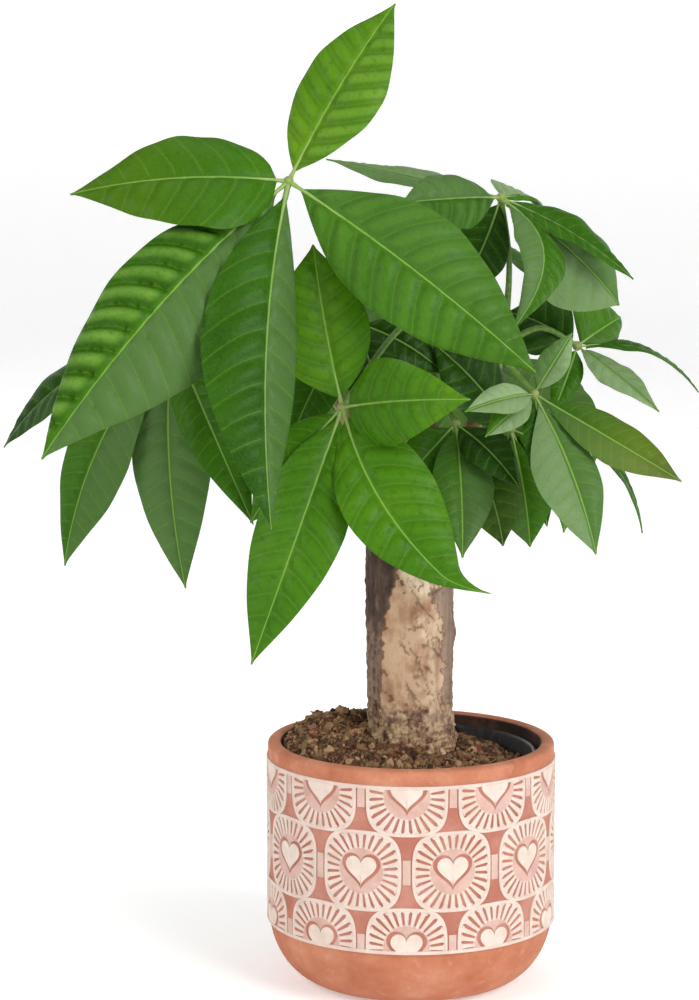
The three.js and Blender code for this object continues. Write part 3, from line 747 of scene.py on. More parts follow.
def scatterTree(paint):
    growth = Growth("scatterOnSoil", shapes="Collection", perSquareMetre="Float", smallest="Float",
                    largest="Float", tilt="Float", seed="Int")
    seed, smallest, tilt = map(growth.input, ("seed", "smallest", "tilt"))
    surface, density = map(growth.input, ("Geometry", "perSquareMetre"))
    places = growth.node("GeometryNodeDistributePointsOnFaces", {},
                         {"Mesh": surface, "Density": density, "Seed": seed}, "Points")
    chance = growth.node("FunctionNodeRandomValue", {"data_type": "FLOAT"}, {"Seed": seed + 1}, 1)
    size = smallest + (growth.input("largest") - smallest) * chance ** 3.0  # mostly small ones
    lean = growth.node("ShaderNodeCombineXYZ", {}, {"X": tilt, "Y": tilt, "Z": 3.1416})
    back = growth.node("ShaderNodeVectorMath", {"operation": "SCALE"}, {0: lean, "Scale": -1.0})
    turn = growth.node("FunctionNodeRandomValue", {"data_type": "FLOAT_VECTOR"},
                       {0: back, 1: lean, "Seed": seed + 2})
    shapes = growth.node("GeometryNodeCollectionInfo", {}, {
        "Collection": growth.input("shapes"), "Separate Children": True, "Reset Children": True})
    pick = growth.node("FunctionNodeRandomValue", {"data_type": "INT"}, {4: 0, 5: 50, "Seed": seed + 3}, 2)
    laid = growth.node("GeometryNodeInstanceOnPoints", {}, {
        "Points": places, "Instance": shapes, "Pick Instance": True, "Instance Index": pick,
        "Rotation": turn, "Scale": size})
    shade = growth.node("FunctionNodeRandomValue", {"data_type": "FLOAT"}, {"Seed": seed + 4}, 1)
    marked = growth.node("GeometryNodeStoreNamedAttribute", {"data_type": "FLOAT", "domain": "INSTANCE"}, {
        "Geometry": laid, "Name": "shade", "Value": shade})
    growth.ends(marked, paint)
    return growth


def scattered(name, paint, shapes, start, end, **sizes):
    # the host is a strip of the soil's surface, between two shares of the way to its edge
    form = Form()
    form.add(*skin(soilRings(start, end)[::-1], closed=False))
    host = form.made(name + "Host")
    return finished(scatterTree(paint).run(host, name, shapes=shapes, **sizes), "soil")


def fibres(paint, count, seed):
    # thin dry roots lying over the mix
    draw = random.Random(seed)
    form = Form()
    for _ in range(count):
        a, r = draw.uniform(0, 2 * pi), draw.uniform(22, 50)
        heading, length = draw.uniform(0, 2 * pi), draw.uniform(5, 14)
        places = []
        for i in range(4):
            x = r * cos(a) + length * i / 3 * cos(heading) + draw.uniform(-1, 1)
            y = r * sin(a) + length * i / 3 * sin(heading) + draw.uniform(-1, 1)
            if hypot(x, y) > soilReach(atan2(y, x)) - 1.5 or hypot(x, y) < 20:
                break
            places.append((x, y, soilSurface(x, y) + draw.uniform(0.2, 1.5)))
        if len(places) > 2:
            thick = draw.uniform(0.22, 0.5)
            line = curveThrough(places, 8)
            form.add(*tube(line, [thick * (1 - 0.07 * i) for i in range(9)], 5), shade=draw.random())
    return finished(form.made("soilFibres", paint), "soil")


soilBed(soilPaint())
brownShades = ((0.0, (46, 31, 22)), (0.3, (92, 64, 45)), (0.5, (128, 94, 66)),
               (0.64, (112, 92, 56)), (0.8, (146, 110, 78)), (0.97, (168, 132, 98)))
barkShades = ((0.0, (62, 34, 26)), (0.4, (124, 66, 48)), (0.7, (98, 62, 44)), (1.0, (176, 128, 92)))
rootShades = ((0.0, (150, 118, 84)), (1.0, (96, 70, 50)))
stones = lumps("crumbShapes", [(1, 0.8, 0.7), (1, 1, 0.8), (0.9, 0.6, 0.7), (1.1, 0.7, 0.5)], 1, 3)
rough = lumps("clodShapes", [(1, 0.85, 0.75), (1.1, 0.8, 0.6), (0.9, 1, 0.7)], 2, 5)
slivers = lumps("chipShapes", [(1.3, 0.55, 0.22), (1.1, 0.7, 0.25), (1.5, 0.4, 0.3)], 2, 8)
scattered("soilCrumbs", crumbPaint("crumbs", brownShades), stones, 0.0, 0.99,
          perSquareMetre=720000.0, smallest=0.0009, largest=0.0030, tilt=3.1, seed=11)
scattered("soilClods", crumbPaint("clods", brownShades), rough, 0.02, 0.95,
          perSquareMetre=100000.0, smallest=0.0022, largest=0.0062, tilt=3.1, seed=21)
scattered("barkChips", crumbPaint("barkChips", barkShades, 0.8), slivers, 0.05, 0.9,
          perSquareMetre=22000.0, smallest=0.0045, largest=0.0100, tilt=0.5, seed=33)
fibres(crumbPaint("rootlets", rootShades), 110, 4)
for group in (stones, rough, slivers):
    for shape in list(group.objects):
        bpy.data.objects.remove(shape)
    bpy.data.collections.remove(group)
print("soil, crumbs, chips and fibres made")


# peeled patches: degrees round from the front (the back one's from its own middle), height, and half
# their width in degrees and half their height; depths are how far the bark stands out or in
bark = {
    "face": (2, 152, 50, 29), "narrows": (150, 0.9), "back": (0, 168, 38, 34), "backTurn": 1.75,
    "cream": (18, 183, 36, 10), "foot": (134, 104), "pale": (6, 44), "dark": (6, -40),
    "darkFrom": (150, 176), "furrow": 0.55, "flake": 0.35, "peeledFlake": 0.2, "peel": 0.45, "crack": 0.45,
    "footFlake": 1.3, "roots": (9, 104, 15, 0.8),
}
barkMarks = ("peeled", "foot", "blotch", "pale", "shade", "crack")


def turnFrom(start, angle):
    # degrees from one angle on to another, -180 to 180
    return degrees(atan2(sin(angle - start), cos(angle - start)))


def barkSurface(angle, z):
    # how far the bark stands out at a place, and its marks there
    def oval(name, turn):  # 1 in its middle, 0 at its edge
        middle, height, wide, high = bark[name]
        return 1 - ((turn - middle) / wide) ** 2 - ((z - height) / high) ** 2

    facing = turnFrom(-pi / 2, angle)  # 0 in front
    spot = Vector((trunk["radius"] * cos(angle), trunk["radius"] * sin(angle), z))
    blotch = noise.fractal(spot * 0.055 + Vector((4, 1, 7)), 0.8, 2.2, 4)
    ragged = noise.fractal(spot * 0.22 + Vector((9, 2, 5)), 0.8, 2.2, 4)
    # the peeled face in front, narrower at its top, and a smaller one behind
    middle, height, wide, high = bark["face"]
    start, narrowing = bark["narrows"]
    wide -= max(z - start, 0) * narrowing
    reach = 1 - max(((facing - middle) / wide) ** 2, ((z - height) / high) ** 2)
    reach = max(reach, oval("back", turnFrom(bark["backTurn"], angle)))
    creamy = oval("cream", facing)
    peeled = ease(-0.12, 0.14, max(reach, creamy) + 0.5 * ragged + 0.16 * blotch)
    foot = ease(*bark["foot"], z + 9 * ragged)
    furrows = noise.fractal(Vector((spot.x * 0.34, spot.y * 0.34, z * 0.07)), 0.9, 2.1, 5)
    flakes = noise.fractal(Vector((spot.x * 0.5, spot.y * 0.5, z * 0.32)), 0.8, 2.2, 5)
    count, level, spread, depth = bark["roots"]
    roots = sin(count * angle + 2.2 * sin(z * 0.06)) * exp(-((z - level) / spread) ** 2)
    slant = Vector((spot.x * 0.1 + spot.z * 0.05, spot.y * 0.1, spot.z * 0.055))
    split = abs(noise.fractal(slant + Vector((3, 8, 1)), 0.9, 2.2, 4))
    crack = ease(0.1, 0.02, split) * ease(-14, 10, facing + 30 * blotch) * (1 - foot)
    out = (1 - peeled) * (bark["furrow"] * furrows + bark["flake"] * flakes)
    out += peeled * (bark["peeledFlake"] * flakes - bark["peel"] - bark["crack"] * crack)
    out += foot * (bark["footFlake"] * flakes + depth * roots)
    # painted light: the bark lighter on its right side; the cream patch near the top is its own colour
    pale = ease(*bark["pale"], facing + 26 * ragged) * ease(100, -30, abs(facing))
    pale = max(pale, ease(-0.1, 0.5, creamy + 0.3 * ragged))
    # painted shade: the bark darker on the left side, mostly in its upper part
    shade = ease(*bark["dark"], facing + 20 * ragged)
    shade *= 0.2 + 0.8 * ease(*bark["darkFrom"], z + 10 * ragged)
    return out, (peeled, foot, 0.5 + 0.5 * max(-1, min(1, blotch * 1.6)), pale, shade, crack)


def barkPaint():
    paint = Paint("bark", Roughness=0.85, Specular_IOR_Level=0.25)
    peeled, foot, blotch, pale, shade, crack = map(paint.mark, barkMarks)
    grain = paint.spots(1.1, 5, 0.7, (1, 1, 0.45))
    speck = paint.spots(2.6, 4, 0.6)
    streak = paint.spots(3.2, 4, 0.6, (1, 1, 0.16))
    tan = paint.ramp(blotch * 0.6 + streak * 0.5, (0.3, (140, 102, 76)), (0.5, (164, 128, 100)),
                     (0.68, (186, 156, 126)))
    tan = paint.blend(tan, (150, 98, 72), paint.smooth(speck, 0.6, 0.74, 0, 0.55))
    # painted light on the right side, with the cream patch, over the peeled face
    tan = paint.blend(tan, (224, 204, 176), pale * paint.smooth(streak, 0.3, 0.6, 0.35, 0.9))
    brown = paint.ramp(streak, (0.3, (56, 41, 35)), (0.5, (94, 73, 62)), (0.66, (138, 114, 96)))
    brown = paint.blend(brown, (64, 44, 36), paint.smooth(blotch, 0.55, 0.85, 0, 0.7))
    # painted shade on the left side of the brown bark
    brown = paint.blend(brown, (52, 40, 34), shade * 0.6)
    # painted light on the right side, with the cream patch, over the brown bark
    brown = paint.blend(brown, paint.blend((200, 172, 146), (234, 214, 190), streak), pale * 0.95)
    # painted light: the brown bark lighter in specks where there is no painted shade
    lit = paint.smooth(shade, 0.2, 0.5, 0.5, 0) * paint.smooth(speck, 0.35, 0.6)
    brown = paint.blend(brown, (146, 122, 104), lit)
    tan = paint.blend(tan, (96, 66, 48), crack * 0.75)
    cover = paint.blend(brown, tan, peeled)
    # the reddish edge of the peeled face
    rim = paint.smooth(peeled, 0.02, 0.5) * paint.smooth(peeled, 0.98, 0.5)
    cover = paint.blend(cover, (104, 60, 42), rim * (0.75 - pale * 0.45))
    chips = paint.spots(6.5, 4, 0.65)
    rough = paint.ramp(chips * 0.55 + speck * 0.45, (0.4, (70, 44, 32)), (0.46, (124, 88, 64)),
                       (0.52, (184, 152, 116)), (0.57, (214, 190, 150)), (0.64, (150, 134, 78)))
    return paint.cover(paint.blend(cover, rough, foot * 0.85), 0.74 + grain * 0.2,
                       grain * 0.7 + streak * 0.5, 0.55)


def trunkPiece(paint):
    foot, top = trunk["foot"], trunk["top"]
    narrowFoot, footLength, narrowTop, topLength = trunk["taper"]
    levels = [(foot, narrowFoot), (foot + 2, narrowFoot + 0.14)]
    levels += [(z, 1.0) for z in np.linspace(foot + footLength, top - topLength, trunk["rows"])]
    levels += [(top - 1.6, 0.96), (top - 0.4, 0.9), (top, narrowTop * 0.9)]
    levels += [(top - 0.8, 0.5), (top - 1.2, 0.2)]  # hollow at the cut
    rings, marked = [], []
    for z, share in levels:
        ring = []
        for a in circle(trunk["sides"]):
            out, values = barkSurface(a, z)
            radius = (trunkRadius(a, z) + out) * share
            ring.append((radius * cos(a), radius * sin(a), z))
            marked.append(values)
        rings.append(ring)
    marked += [(0.0,) * 6, (0.3,) * 6]  # the two poles
    form = Form()
    form.add(*skin(rings), **dict(zip(barkMarks, zip(*marked))))
    return finished(form.made("trunkBark", paint), "bark", "trunk")


# young shoots: points on the centreline, and the radii at foot and tip
shoots = {
    "shoot_front": ([(4, -6, 204), (6, -12, 236), (7, -15, 270), (6, -17, 306)], (5.4, 2.6)),
    "shoot_left": ([(-9, 1, 204), (-20, 4, 232), (-34, 6, 262), (-44, 8, 292)], (5, 2.4)),
    "shoot_right": ([(11, 1, 204), (21, 2, 232), (33, 3, 260), (41, 4, 288)], (5, 2.4)),
    "shoot_back": ([(-1, 10, 204), (0, 19, 236), (-1, 28, 268), (-2, 33, 302)], (5.2, 2.5)),
}
shootForm = {
    "steps": 70, "sides": 28, "swell": 0.07, "waves": 21, "scars": 6, "scar": 0.07,
    "scales": 5, "scale": 6.5,
}


def shootPaint():
    paint = Paint("youngShoot", Roughness=0.6, Specular_IOR_Level=0.4)
    grown = paint.mark("grown")
    cloud = paint.spots(6, 4, 0.6, (1, 1, 0.4))
    grain = paint.spots(1.0, 4, 0.65, (1, 1, 0.35))
    wood = paint.ramp(cloud, (0.35, (104, 78, 52)), (0.55, (146, 116, 80)), (0.7, (184, 158, 116)))
    green = paint.ramp(cloud, (0.35, (74, 92, 34)), (0.65, (120, 138, 62)))
    both = paint.blend(wood, green, paint.smooth(grown + grain * 0.4 - 0.2, 0.35, 0.85))
    return paint.cover(paint.blend(both, (206, 190, 148), paint.smooth(grain, 0.62, 0.76, 0, 0.6)),
                       0.5 + grain * 0.25, grain, 0.35)


def shootPiece(name, paint):
    path, (thick, thin) = shoots[name]
    line = curveThrough(path, shootForm["steps"])
    shares = np.linspace(0, 1, shootForm["steps"] + 1)
    radii = []
    for share in shares:
        node = abs((share * shootForm["scars"]) % 1 - 0.5)  # rings left by fallen leaves
        radius = thick + (thin - thick) * share
        radius *= 1 + shootForm["swell"] * sin(share * shootForm["waves"])
        radius *= 1 + shootForm["scar"] * exp(-(node / 0.05) ** 2)
        radii.append(radius * (1 - 0.55 * ease(0.96, 1, share)))
    form = Form()
    points, faces = tube(line, radii, shootForm["sides"])
    grown = [share for share in shares for _ in range(shootForm["sides"])] + [0.0, 1.0]
    form.add(points, faces, grown=grown)
    # pointed bud scales round the growing tip
    tip, ahead = line[-1], line[-1] - line[-4]
    ahead /= np.linalg.norm(ahead)
    aside = np.cross(ahead, (0, 1, 0))
    aside /= np.linalg.norm(aside)
    for i in range(shootForm["scales"]):
        a = 2 * pi * i / shootForm["scales"] + 0.4
        out = aside * cos(a) + np.cross(ahead, aside) * sin(a)
        long = shootForm["scale"] * (1 - 0.09 * i)
        centres = [tip + ahead * (long * s - 2) + out * (thin * 0.45 * (1 - s * s))
                   for s in (0, 0.25, 0.5, 0.75, 1)]
        form.add(*tube(centres, [0.7, 1.1, 0.95, 0.6, 0.12], 8), grown=0.9)
    return finished(form.made(name + "Wood", paint), "shoot", name)


trunkPiece(barkPaint())
youngWood = shootPaint()
for name in shoots:
    shootPiece(name, youngWood)
print("trunk and shoots made")


# The leaves. "foot" is how far up its shoot a leaf stalk springs, "via" a point that the stalk bends
# round and "face" the way its upper side looks. A leaflet has its tip, greatest width, how far its
# midrib arches up and sweeps sideways, and its own face where that differs. "drip" bends its very
# tip, and "worn" yellows it.
# One pair of numbers per leaflet gives how much painted sheen, a grey-green, lies on its left and right
# halves.
leaves = {
    "leaf_high_left": dict(
        shoot="shoot_left", foot=0.97, via=(-56, -14, 326), hub=(-52, -60, 354), face=(-0.1, -0.8, 0.6),
        leaflets=[
            dict(tip=(-8, -30, 426), wide=36, arch=5, sides=(1.08, 0.94), tone=1.05, bloom=(0.2, 0),
                 ribs=(1.6, 1.2)),
            dict(tip=(-141, -68, 349), wide=45, arch=7, peak=0.34, sides=(0.95, 1.14), tone=0.6, worn=0.1,
                 ribs=(0.5, 0.9)),
            dict(tip=(-150, -112, 246), wide=53, arch=10, sweep=-1, peak=0.48, sides=(0.92, 1.08),
                 fold=(0, -0.4), tone=0.65, bloom=(0, 1), ribs=(2.2, 1.3)),
            dict(tip=(-58, -122, 219), wide=46, arch=8, sweep=-7, face=(0.2, -0.8, 0.5), peak=0.47,
                 sides=(1.15, 0.62), fold=(0, -0.7), tone=0.25, bloom=(0, 0.85)),
            dict(tip=(48, -95, 279), wide=48, arch=7, peak=0.47, sides=(0.96, 1.08), fold=(-0.3, 0),
                 tone=0.75, bloom=(0.2, 0.4), ribs=(1.3, 1.3)),
        ],
    ),
    "leaf_front_low": dict(
        shoot="shoot_front", foot=0.93, via=(-10, -50, 288), hub=(-30, -72, 262), face=(-0.05, -0.8, 0.5),
        leaflets=[
            dict(tip=(21, -112, 270), wide=36, arch=5, sweep=1, face=(-0.5, -0.85, 0.1), peak=0.36,
                 tone=0.9),
            dict(tip=(20, -104, 189), wide=39, arch=6, sweep=-9, sides=(0.86, 1.22), drip=(10, 0, 1)),
            dict(tip=(-67, -100, 160), wide=37, arch=7, sweep=1.5, tone=0.9, bloom=(0.2, 0.1)),
            dict(tip=(-68, -72, 214), wide=27, arch=5),
            dict(tip=(-42, -60, 328), wide=36, arch=3, sweep=1, sides=(1, 1.3), tone=0.95),
        ],
    ),
    "leaf_high_right": dict(
        shoot="shoot_right", foot=0.97, via=(41, -12, 318), hub=(37, -20, 345), face=(0.1, -0.7, 0.7),
        leaflets=[
            dict(tip=(-37, 10, 360), wide=22, arch=0, face=(0, -0.25, 0.97), bloom=(1.5, 1.3)),
            dict(tip=(-6, -60, 345), wide=30, arch=5, sweep=2, face=(0.1, -0.9, 0.5), peak=0.56,
                 sides=(0.85, 0.95), tone=0.3, bloom=(1.1, 0.3), ribs=(1.5, 1.5)),
            dict(tip=(40, -58, 292), wide=27, arch=17, sweep=4, face=(0.75, -0.6, 0.3), sides=(0.72, 1),
                 fold=(-0.5, 0), tone=0.4, bloom=(1.2, 0), ribs=(1.5, 1.5)),
            dict(tip=(18, -8, 302), wide=24, arch=4, sweep=3, face=(-0.1, -0.9, 0.4), tone=0),
            dict(tip=(89, -4, 298), wide=42, arch=8, face=(0.1, -0.9, 0.4), peak=0.55, sides=(1.1, 0.66),
                 tone=0.8, bloom=(1.5, 1.2)),
            dict(tip=(93, -26, 311), wide=25, arch=4, sweep=-1, face=(0.3, -0.4, 0.85), sides=(0.75, 1.1),
                 tone=0.45),
            dict(tip=(58, 12, 336), wide=22, arch=4, face=(-0.2, -0.7, 0.7), peak=0.4, sides=(0.6, 1.6),
                 bloom=(0, 1.7)),
        ],
    ),
    "leaf_right": dict(
        shoot="shoot_front", foot=0.88, via=(36, -38, 279), hub=(50, -50, 265), face=(0.2, -0.8, 0.5),
        leaflets=[
            dict(tip=(110, -70, 231), wide=22, arch=4, sweep=-2, peak=0.5, tone=0.5, worn=0.3,
                 bloom=(0.7, 0.3)),
            dict(tip=(74, -85, 203), wide=26, arch=5, sweep=1, peak=0.52, sides=(1.28, 0.86), tone=0.8,
                 bloom=(1.45, 0.9)),
            dict(tip=(55, -66, 222), wide=17, arch=4),
            dict(tip=(20, -86, 262), wide=14, arch=3, tone=1.1, bloom=(1.9, 1.6)),
            dict(tip=(29, -66, 249), wide=14, arch=3, tone=0.6, bloom=(0, 1.6)),
            dict(tip=(66, -45, 290), wide=13, arch=3, tone=0.8, bloom=(1.7, 1.2)),
        ],
    ),
    "leaf_far_right": dict(
        shoot="shoot_right", foot=0.9, via=(56, 8, 287), hub=(72, 10, 279), face=(0.3, -0.5, 0.8),
        leaflets=[
            dict(tip=(106, -12, 253), wide=19, arch=4, sweep=-4, tone=0.8, bloom=(1.7, 1.5)),
            dict(tip=(127, 26, 257), wide=18, arch=9, face=(0.2, -0.1, 1)),
            dict(tip=(93, 36, 289), wide=27, arch=4, face=(0.1, -0.9, 0.3), sides=(0.6, 1.5), tone=0.9,
                 bloom=(0.5, 0.3)),
            dict(tip=(42, 28, 292), wide=32, arch=5, face=(0, -0.8, 0.5), tone=0.1),
            dict(tip=(60, -8, 250), wide=13, arch=5),
        ],
    ),
    "leaf_right_low": dict(
        shoot="shoot_right", foot=0.55, via=(48, 14, 252), hub=(64, 20, 244), face=(0.4, -0.2, 0.85),
        leaflets=[
            dict(tip=(102, 14, 196), wide=12, arch=9),
            dict(tip=(66, -4, 199), wide=23, arch=4, bloom=(0, 0.5)),
            dict(tip=(84, 58, 222), wide=19, arch=5),
            dict(tip=(28, 46, 220), wide=26, arch=4, face=(0.1, 0.8, 0.6), tone=0),
        ],
    ),
    "leaf_front_right_low": dict(
        shoot="shoot_front", foot=0.45, via=(12, -22, 258), hub=(18, -30, 250), face=(0.2, -0.85, 0.5),
        leaflets=[
            dict(tip=(38, -40, 199), wide=26, arch=4, sweep=2, peak=0.52, sides=(1, 1.2), worn=0.1),
            dict(tip=(20, -64, 198), wide=24, arch=4, sides=(1, 1.2), bloom=(0.4, 0.9)),
            dict(tip=(44, -52, 226), wide=20, arch=4, tone=0, bloom=(0, 0.2)),
            dict(tip=(-8, -42, 222), wide=20, arch=4),
        ],
    ),
    "leaf_inner_right": dict(
        shoot="shoot_right", foot=0.3, via=(34, -8, 246), hub=(42, -16, 246), face=(0.2, -0.8, 0.6),
        leaflets=[
            dict(tip=(50, -30, 197), wide=24, arch=4, peak=0.52, sides=(1.25, 1), bloom=(0.5, 0)),
            dict(tip=(58, -18, 204), wide=22, arch=4, tone=0),
            dict(tip=(74, -14, 226), wide=18, arch=4),
            dict(tip=(30, -2, 202), wide=24, arch=4),
            dict(tip=(8, -24, 284), wide=32, arch=4, tone=0),
        ],
    ),
    "leaf_left": dict(
        shoot="shoot_left", foot=0.9, via=(-76, -4, 300), hub=(-103, -15, 286), face=(-0.2, -0.75, 0.6),
        leaflets=[
            dict(tip=(-177, 0, 236), wide=33, arch=9, sweep=-2, face=(-0.4, -0.45, 0.8), sides=(0.9, 1.25)),
            dict(tip=(-149, -25, 188), wide=31, arch=8, sweep=-5, peak=0.52, sides=(0.88, 1.1), tone=0.6,
                 bloom=(0.2, 0.9)),
            dict(tip=(-97, -30, 179), wide=36, arch=8, sweep=-2, sides=(0.92, 1), tone=0.7,
                 bloom=(1.15, 0.9)),
            dict(tip=(-67, -64, 212), wide=28, arch=7, sides=(0.88, 1)),
            dict(tip=(-124, 50, 262), wide=30, arch=7, face=(-0.3, -0.1, 0.95)),
        ],
    ),
    "leaf_back_left": dict(
        shoot="shoot_left", foot=0.6, via=(-50, 38, 274), hub=(-66, 58, 262), face=(-0.3, 0.35, 0.9),
        leaflets=[
            dict(tip=(-124, 74, 214), wide=32, arch=8),
            dict(tip=(-108, 116, 208), wide=36, arch=9),
            dict(tip=(-54, 132, 206), wide=36, arch=9),
            dict(tip=(-20, 92, 226), wide=30, arch=7),
            dict(tip=(-74, 24, 214), wide=30, arch=7),
        ],
    ),
    "leaf_back": dict(
        shoot="shoot_back", foot=0.9, via=(-18, 56, 306), hub=(-28, 72, 300), face=(-0.1, 0.4, 0.9),
        leaflets=[
            dict(tip=(-98, 82, 264), wide=36, arch=9),
            dict(tip=(-70, 138, 256), wide=36, arch=9),
            dict(tip=(-6, 150, 250), wide=36, arch=9),
            dict(tip=(38, 100, 268), wide=34, arch=8),
            dict(tip=(-30, 28, 246), wide=30, arch=6, face=(0, 0.7, 0.7), tone=0),
        ],
    ),
    "leaf_back_right": dict(
        shoot="shoot_back", foot=0.75, via=(22, 56, 280), hub=(40, 70, 268), face=(0.25, 0.62, 0.74),
        leaflets=[
            dict(tip=(90, 86, 226), wide=30, arch=8),
            dict(tip=(84, 130, 218), wide=36, arch=9),
            dict(tip=(28, 140, 212), wide=40, arch=9),
            dict(tip=(2, 84, 216), wide=38, arch=6),
        ],
    ),
    "leaf_top_back": dict(
        shoot="shoot_back", foot=0.97, via=(6, 36, 320), hub=(8, 30, 330), face=(0.1, 0.1, 1),
        leaflets=[
            dict(tip=(-46, 22, 300), wide=30, arch=8),
            dict(tip=(-32, 90, 306), wide=30, arch=8),
            dict(tip=(38, 96, 300), wide=30, arch=8),
            dict(tip=(66, 44, 296), wide=28, arch=7),
            dict(tip=(27, -6, 293), wide=28, arch=8, face=(0.5, -0.5, 0.7), tone=0),
        ],
    ),
    "leaf_inner_left": dict(
        shoot="shoot_front", foot=0.7, via=(-12, -16, 288), hub=(-24, -18, 292), face=(-0.2, -0.7, 0.7),
        leaflets=[
            dict(tip=(-54, -44, 238), wide=25, arch=6),
            dict(tip=(-6, -52, 240), wide=24, arch=6, tone=0),
            dict(tip=(-76, 0, 268), wide=24, arch=6),
            dict(tip=(14, -22, 270), wide=21, arch=5, tone=0),
        ],
    ),
}
blade = {
    "thick": 0.5, "edge": 0.22, "rise": 0.34, "curl": 0.36, "wave": 0.05, "waves": 9, "offset": 1.4,
    "peak": 0.44, "tip": 1.2, "start": 0.04, "tipHalf": 0.3, "drip": 0.87,
    "rowEvery": 2.1, "rows": (30, 70), "columns": (14, 24), "quilt": 0.042, "ripple": 0.012,
    "veinEvery": 0.24, "veinGap": (5.5, 11.5), "lean": (0.3, 0.62), "rib": 0.62, "groove": 0.35,
    "ripples": 31, "evenOut": 1.2,
}
stalk = {"foot": 1.7, "end": 1.25, "sides": 14, "steps": 48, "joint": 2.1, "stem": 0.8, "set": 1.15}


def outline(share, peak):
    # half the width of a leaflet at a share of its length, 1 at its widest place, the peak
    share = min(max(share, 0), 1)
    return (share / peak) ** (blade["tip"] * peak / (1 - peak)) * ((1 - share) / (1 - peak)) ** blade["tip"]


class Midrib:
    # the line that a leaflet's blade is hung on, and its directions
    def __init__(self, hub, leafFace, leaflet):
        hub, tip = np.array(hub, float), np.array(leaflet["tip"], float)
        self.along = (tip - hub) / np.linalg.norm(tip - hub)
        self.start = hub + self.along * stalk["set"]
        self.length = float(np.linalg.norm(tip - self.start))
        out = np.array(leaflet.get("face", leafFace), float)
        out -= self.along * out.dot(self.along)
        self.out = out / np.linalg.norm(out)
        self.across = np.cross(self.out, self.along)
        self.arch, self.sweep = leaflet["arch"], leaflet.get("sweep", 0)
        self.drip = np.array(leaflet.get("drip", (0, 0, 0)), float)

    def at(self, share):
        bow = 4 * share * (1 - share)
        hook = max(share - blade["drip"], 0) / (1 - blade["drip"])
        return (self.start + self.along * self.length * share + self.out * self.arch * bow
                + self.across * self.sweep * bow + self.drip * hook * hook)

    def normal(self, share):
        slope = self.arch * 4 * (1 - 2 * share) / self.length
        normal = self.out - self.along * slope
        return normal / np.linalg.norm(normal)


def leafletBlade(form, rib, leaflet, phase, tone):
    # a thin closed blade: it rises from the midrib, curls down at its margins, waves along them and
    # is quilted between its side veins
    wide, length = leaflet["wide"], rib.length
    sides, fold = leaflet.get("sides", (1, 1)), leaflet.get("fold", (0, 0))
    bloom, ribs = leaflet.get("bloom", (0, 0)), leaflet.get("ribs", (1, 1))
    rows = int(np.clip(length / blade["rowEvery"], *blade["rows"]))
    columns = 2 * int(np.clip(wide / 3.4, blade["columns"][0] / 2, blade["columns"][1] / 2))
    gap = float(np.clip(wide * blade["veinEvery"], *blade["veinGap"]))
    reach = np.linspace(-1, 1, columns + 1)
    reach = np.sign(reach) * np.abs(reach) ** blade["evenOut"]  # closer together near the midrib
    top, below, marked = [], [], []
    for i in range(rows + 1):
        share = blade["start"] + (1 - blade["start"]) * (i / rows) ** 0.96
        grown = outline((share - blade["start"]) / (1 - blade["start"]), leaflet.get("peak", blade["peak"]))
        half = max(wide / 2 * grown, blade["tipHalf"])
        centre, normal = rib.at(share), rib.normal(share)
        for u in reach:
            side = 1 if u > 0 else 0
            far = abs(u) * half * sides[side]
            waving = sin(blade["waves"] * share + phase + (blade["offset"] if u > 0 else 0))
            lift = half * (blade["rise"] * abs(u) - blade["curl"] * u * u) + fold[side] * far
            lift += wide * blade["wave"] * u * u * waving * grown
            rippling = sin(blade["ripples"] * share + 2.3 * phase + (2 if u > 0 else 0))
            lift += wide * blade["ripple"] * abs(u) ** 3 * rippling * grown
            vein = (length * share - far * (blade["lean"][0] + blade["lean"][1] * far / wide)) / gap
            vein += 0.12 * sin(5 * share + phase) + (0.2 if u > 0 else 0)
            swell = abs(sin(pi * vein)) ** 0.8 - 0.5
            fade = min(far / 3, 1) * (1 - abs(u) ** 4) * ease(0, 0.16, grown)
            lift += wide * blade["quilt"] * ribs[side] * swell * fade
            groove = blade["groove"] * exp(-(far / 1.1) ** 2) * (1 - share)
            thick = blade["edge"] + (blade["thick"] - blade["edge"]) * (1 - abs(u) ** 3)
            keel = blade["rib"] * (1 - 0.8 * share) * exp(-(far / 0.9) ** 2)
            place = centre + rib.across * copysign(far, u)
            top.append(place + normal * (lift - groove))
            below.append(place + normal * (lift - groove - thick - keel))
            sheenShare = bloom[side] * min(far / 0.8, 1)  # painted sheen on this half of the blade, none on the midrib
            marked.append((copysign(far, u), length * share, vein, share, sheenShare, ribs[side]))
    line = columns + 1
    faces, under = [], len(top)
    for i in range(rows):
        for j in range(columns):
            a = i * line + j
            faces.append((a, a + line, a + line + 1, a + 1))
            faces.append((under + a, under + a + 1, under + a + line + 1, under + a + line))
        a, b = i * line, i * line + columns
        faces.append((a, under + a, under + a + line, a + line))
        faces.append((b, b + line, under + b + line, under + b))
    for j in range(columns):
        a, b = j, rows * line + j
        faces.append((a, a + 1, under + a + 1, under + a))
        faces.append((b, under + b, under + b + 1, b + 1))
    marks = dict(zip(("across", "along", "vein", "share", "bloom", "ribs"), zip(*marked * 2)))
    form.add(top + below, faces, 0, tone=tone, worn=leaflet.get("worn", 0),
             under=[0.0] * under + [1.0] * under, gap=gap, **marks)


def leafletStem(form, rib, wide):
    # the round stem of a leaflet, which runs on as its midrib
    shares = np.linspace(-0.01, 0.8, 40)
    thin = min(wide / 34, 1)
    centres = [rib.at(s) - rib.normal(max(s, 0)) * (0.1 + 0.5 * ease(0.04, 0.2, s)) * thin for s in shares]
    radii = [thin * (stalk["stem"] * (1 - 0.62 * ease(0.02, 0.3, s)) * (1 - 0.55 * s)
                     + 0.3 * exp(-(s / 0.025) ** 2)) for s in shares]
    form.add(*tube(centres, radii, 10), 1, share=0.5)


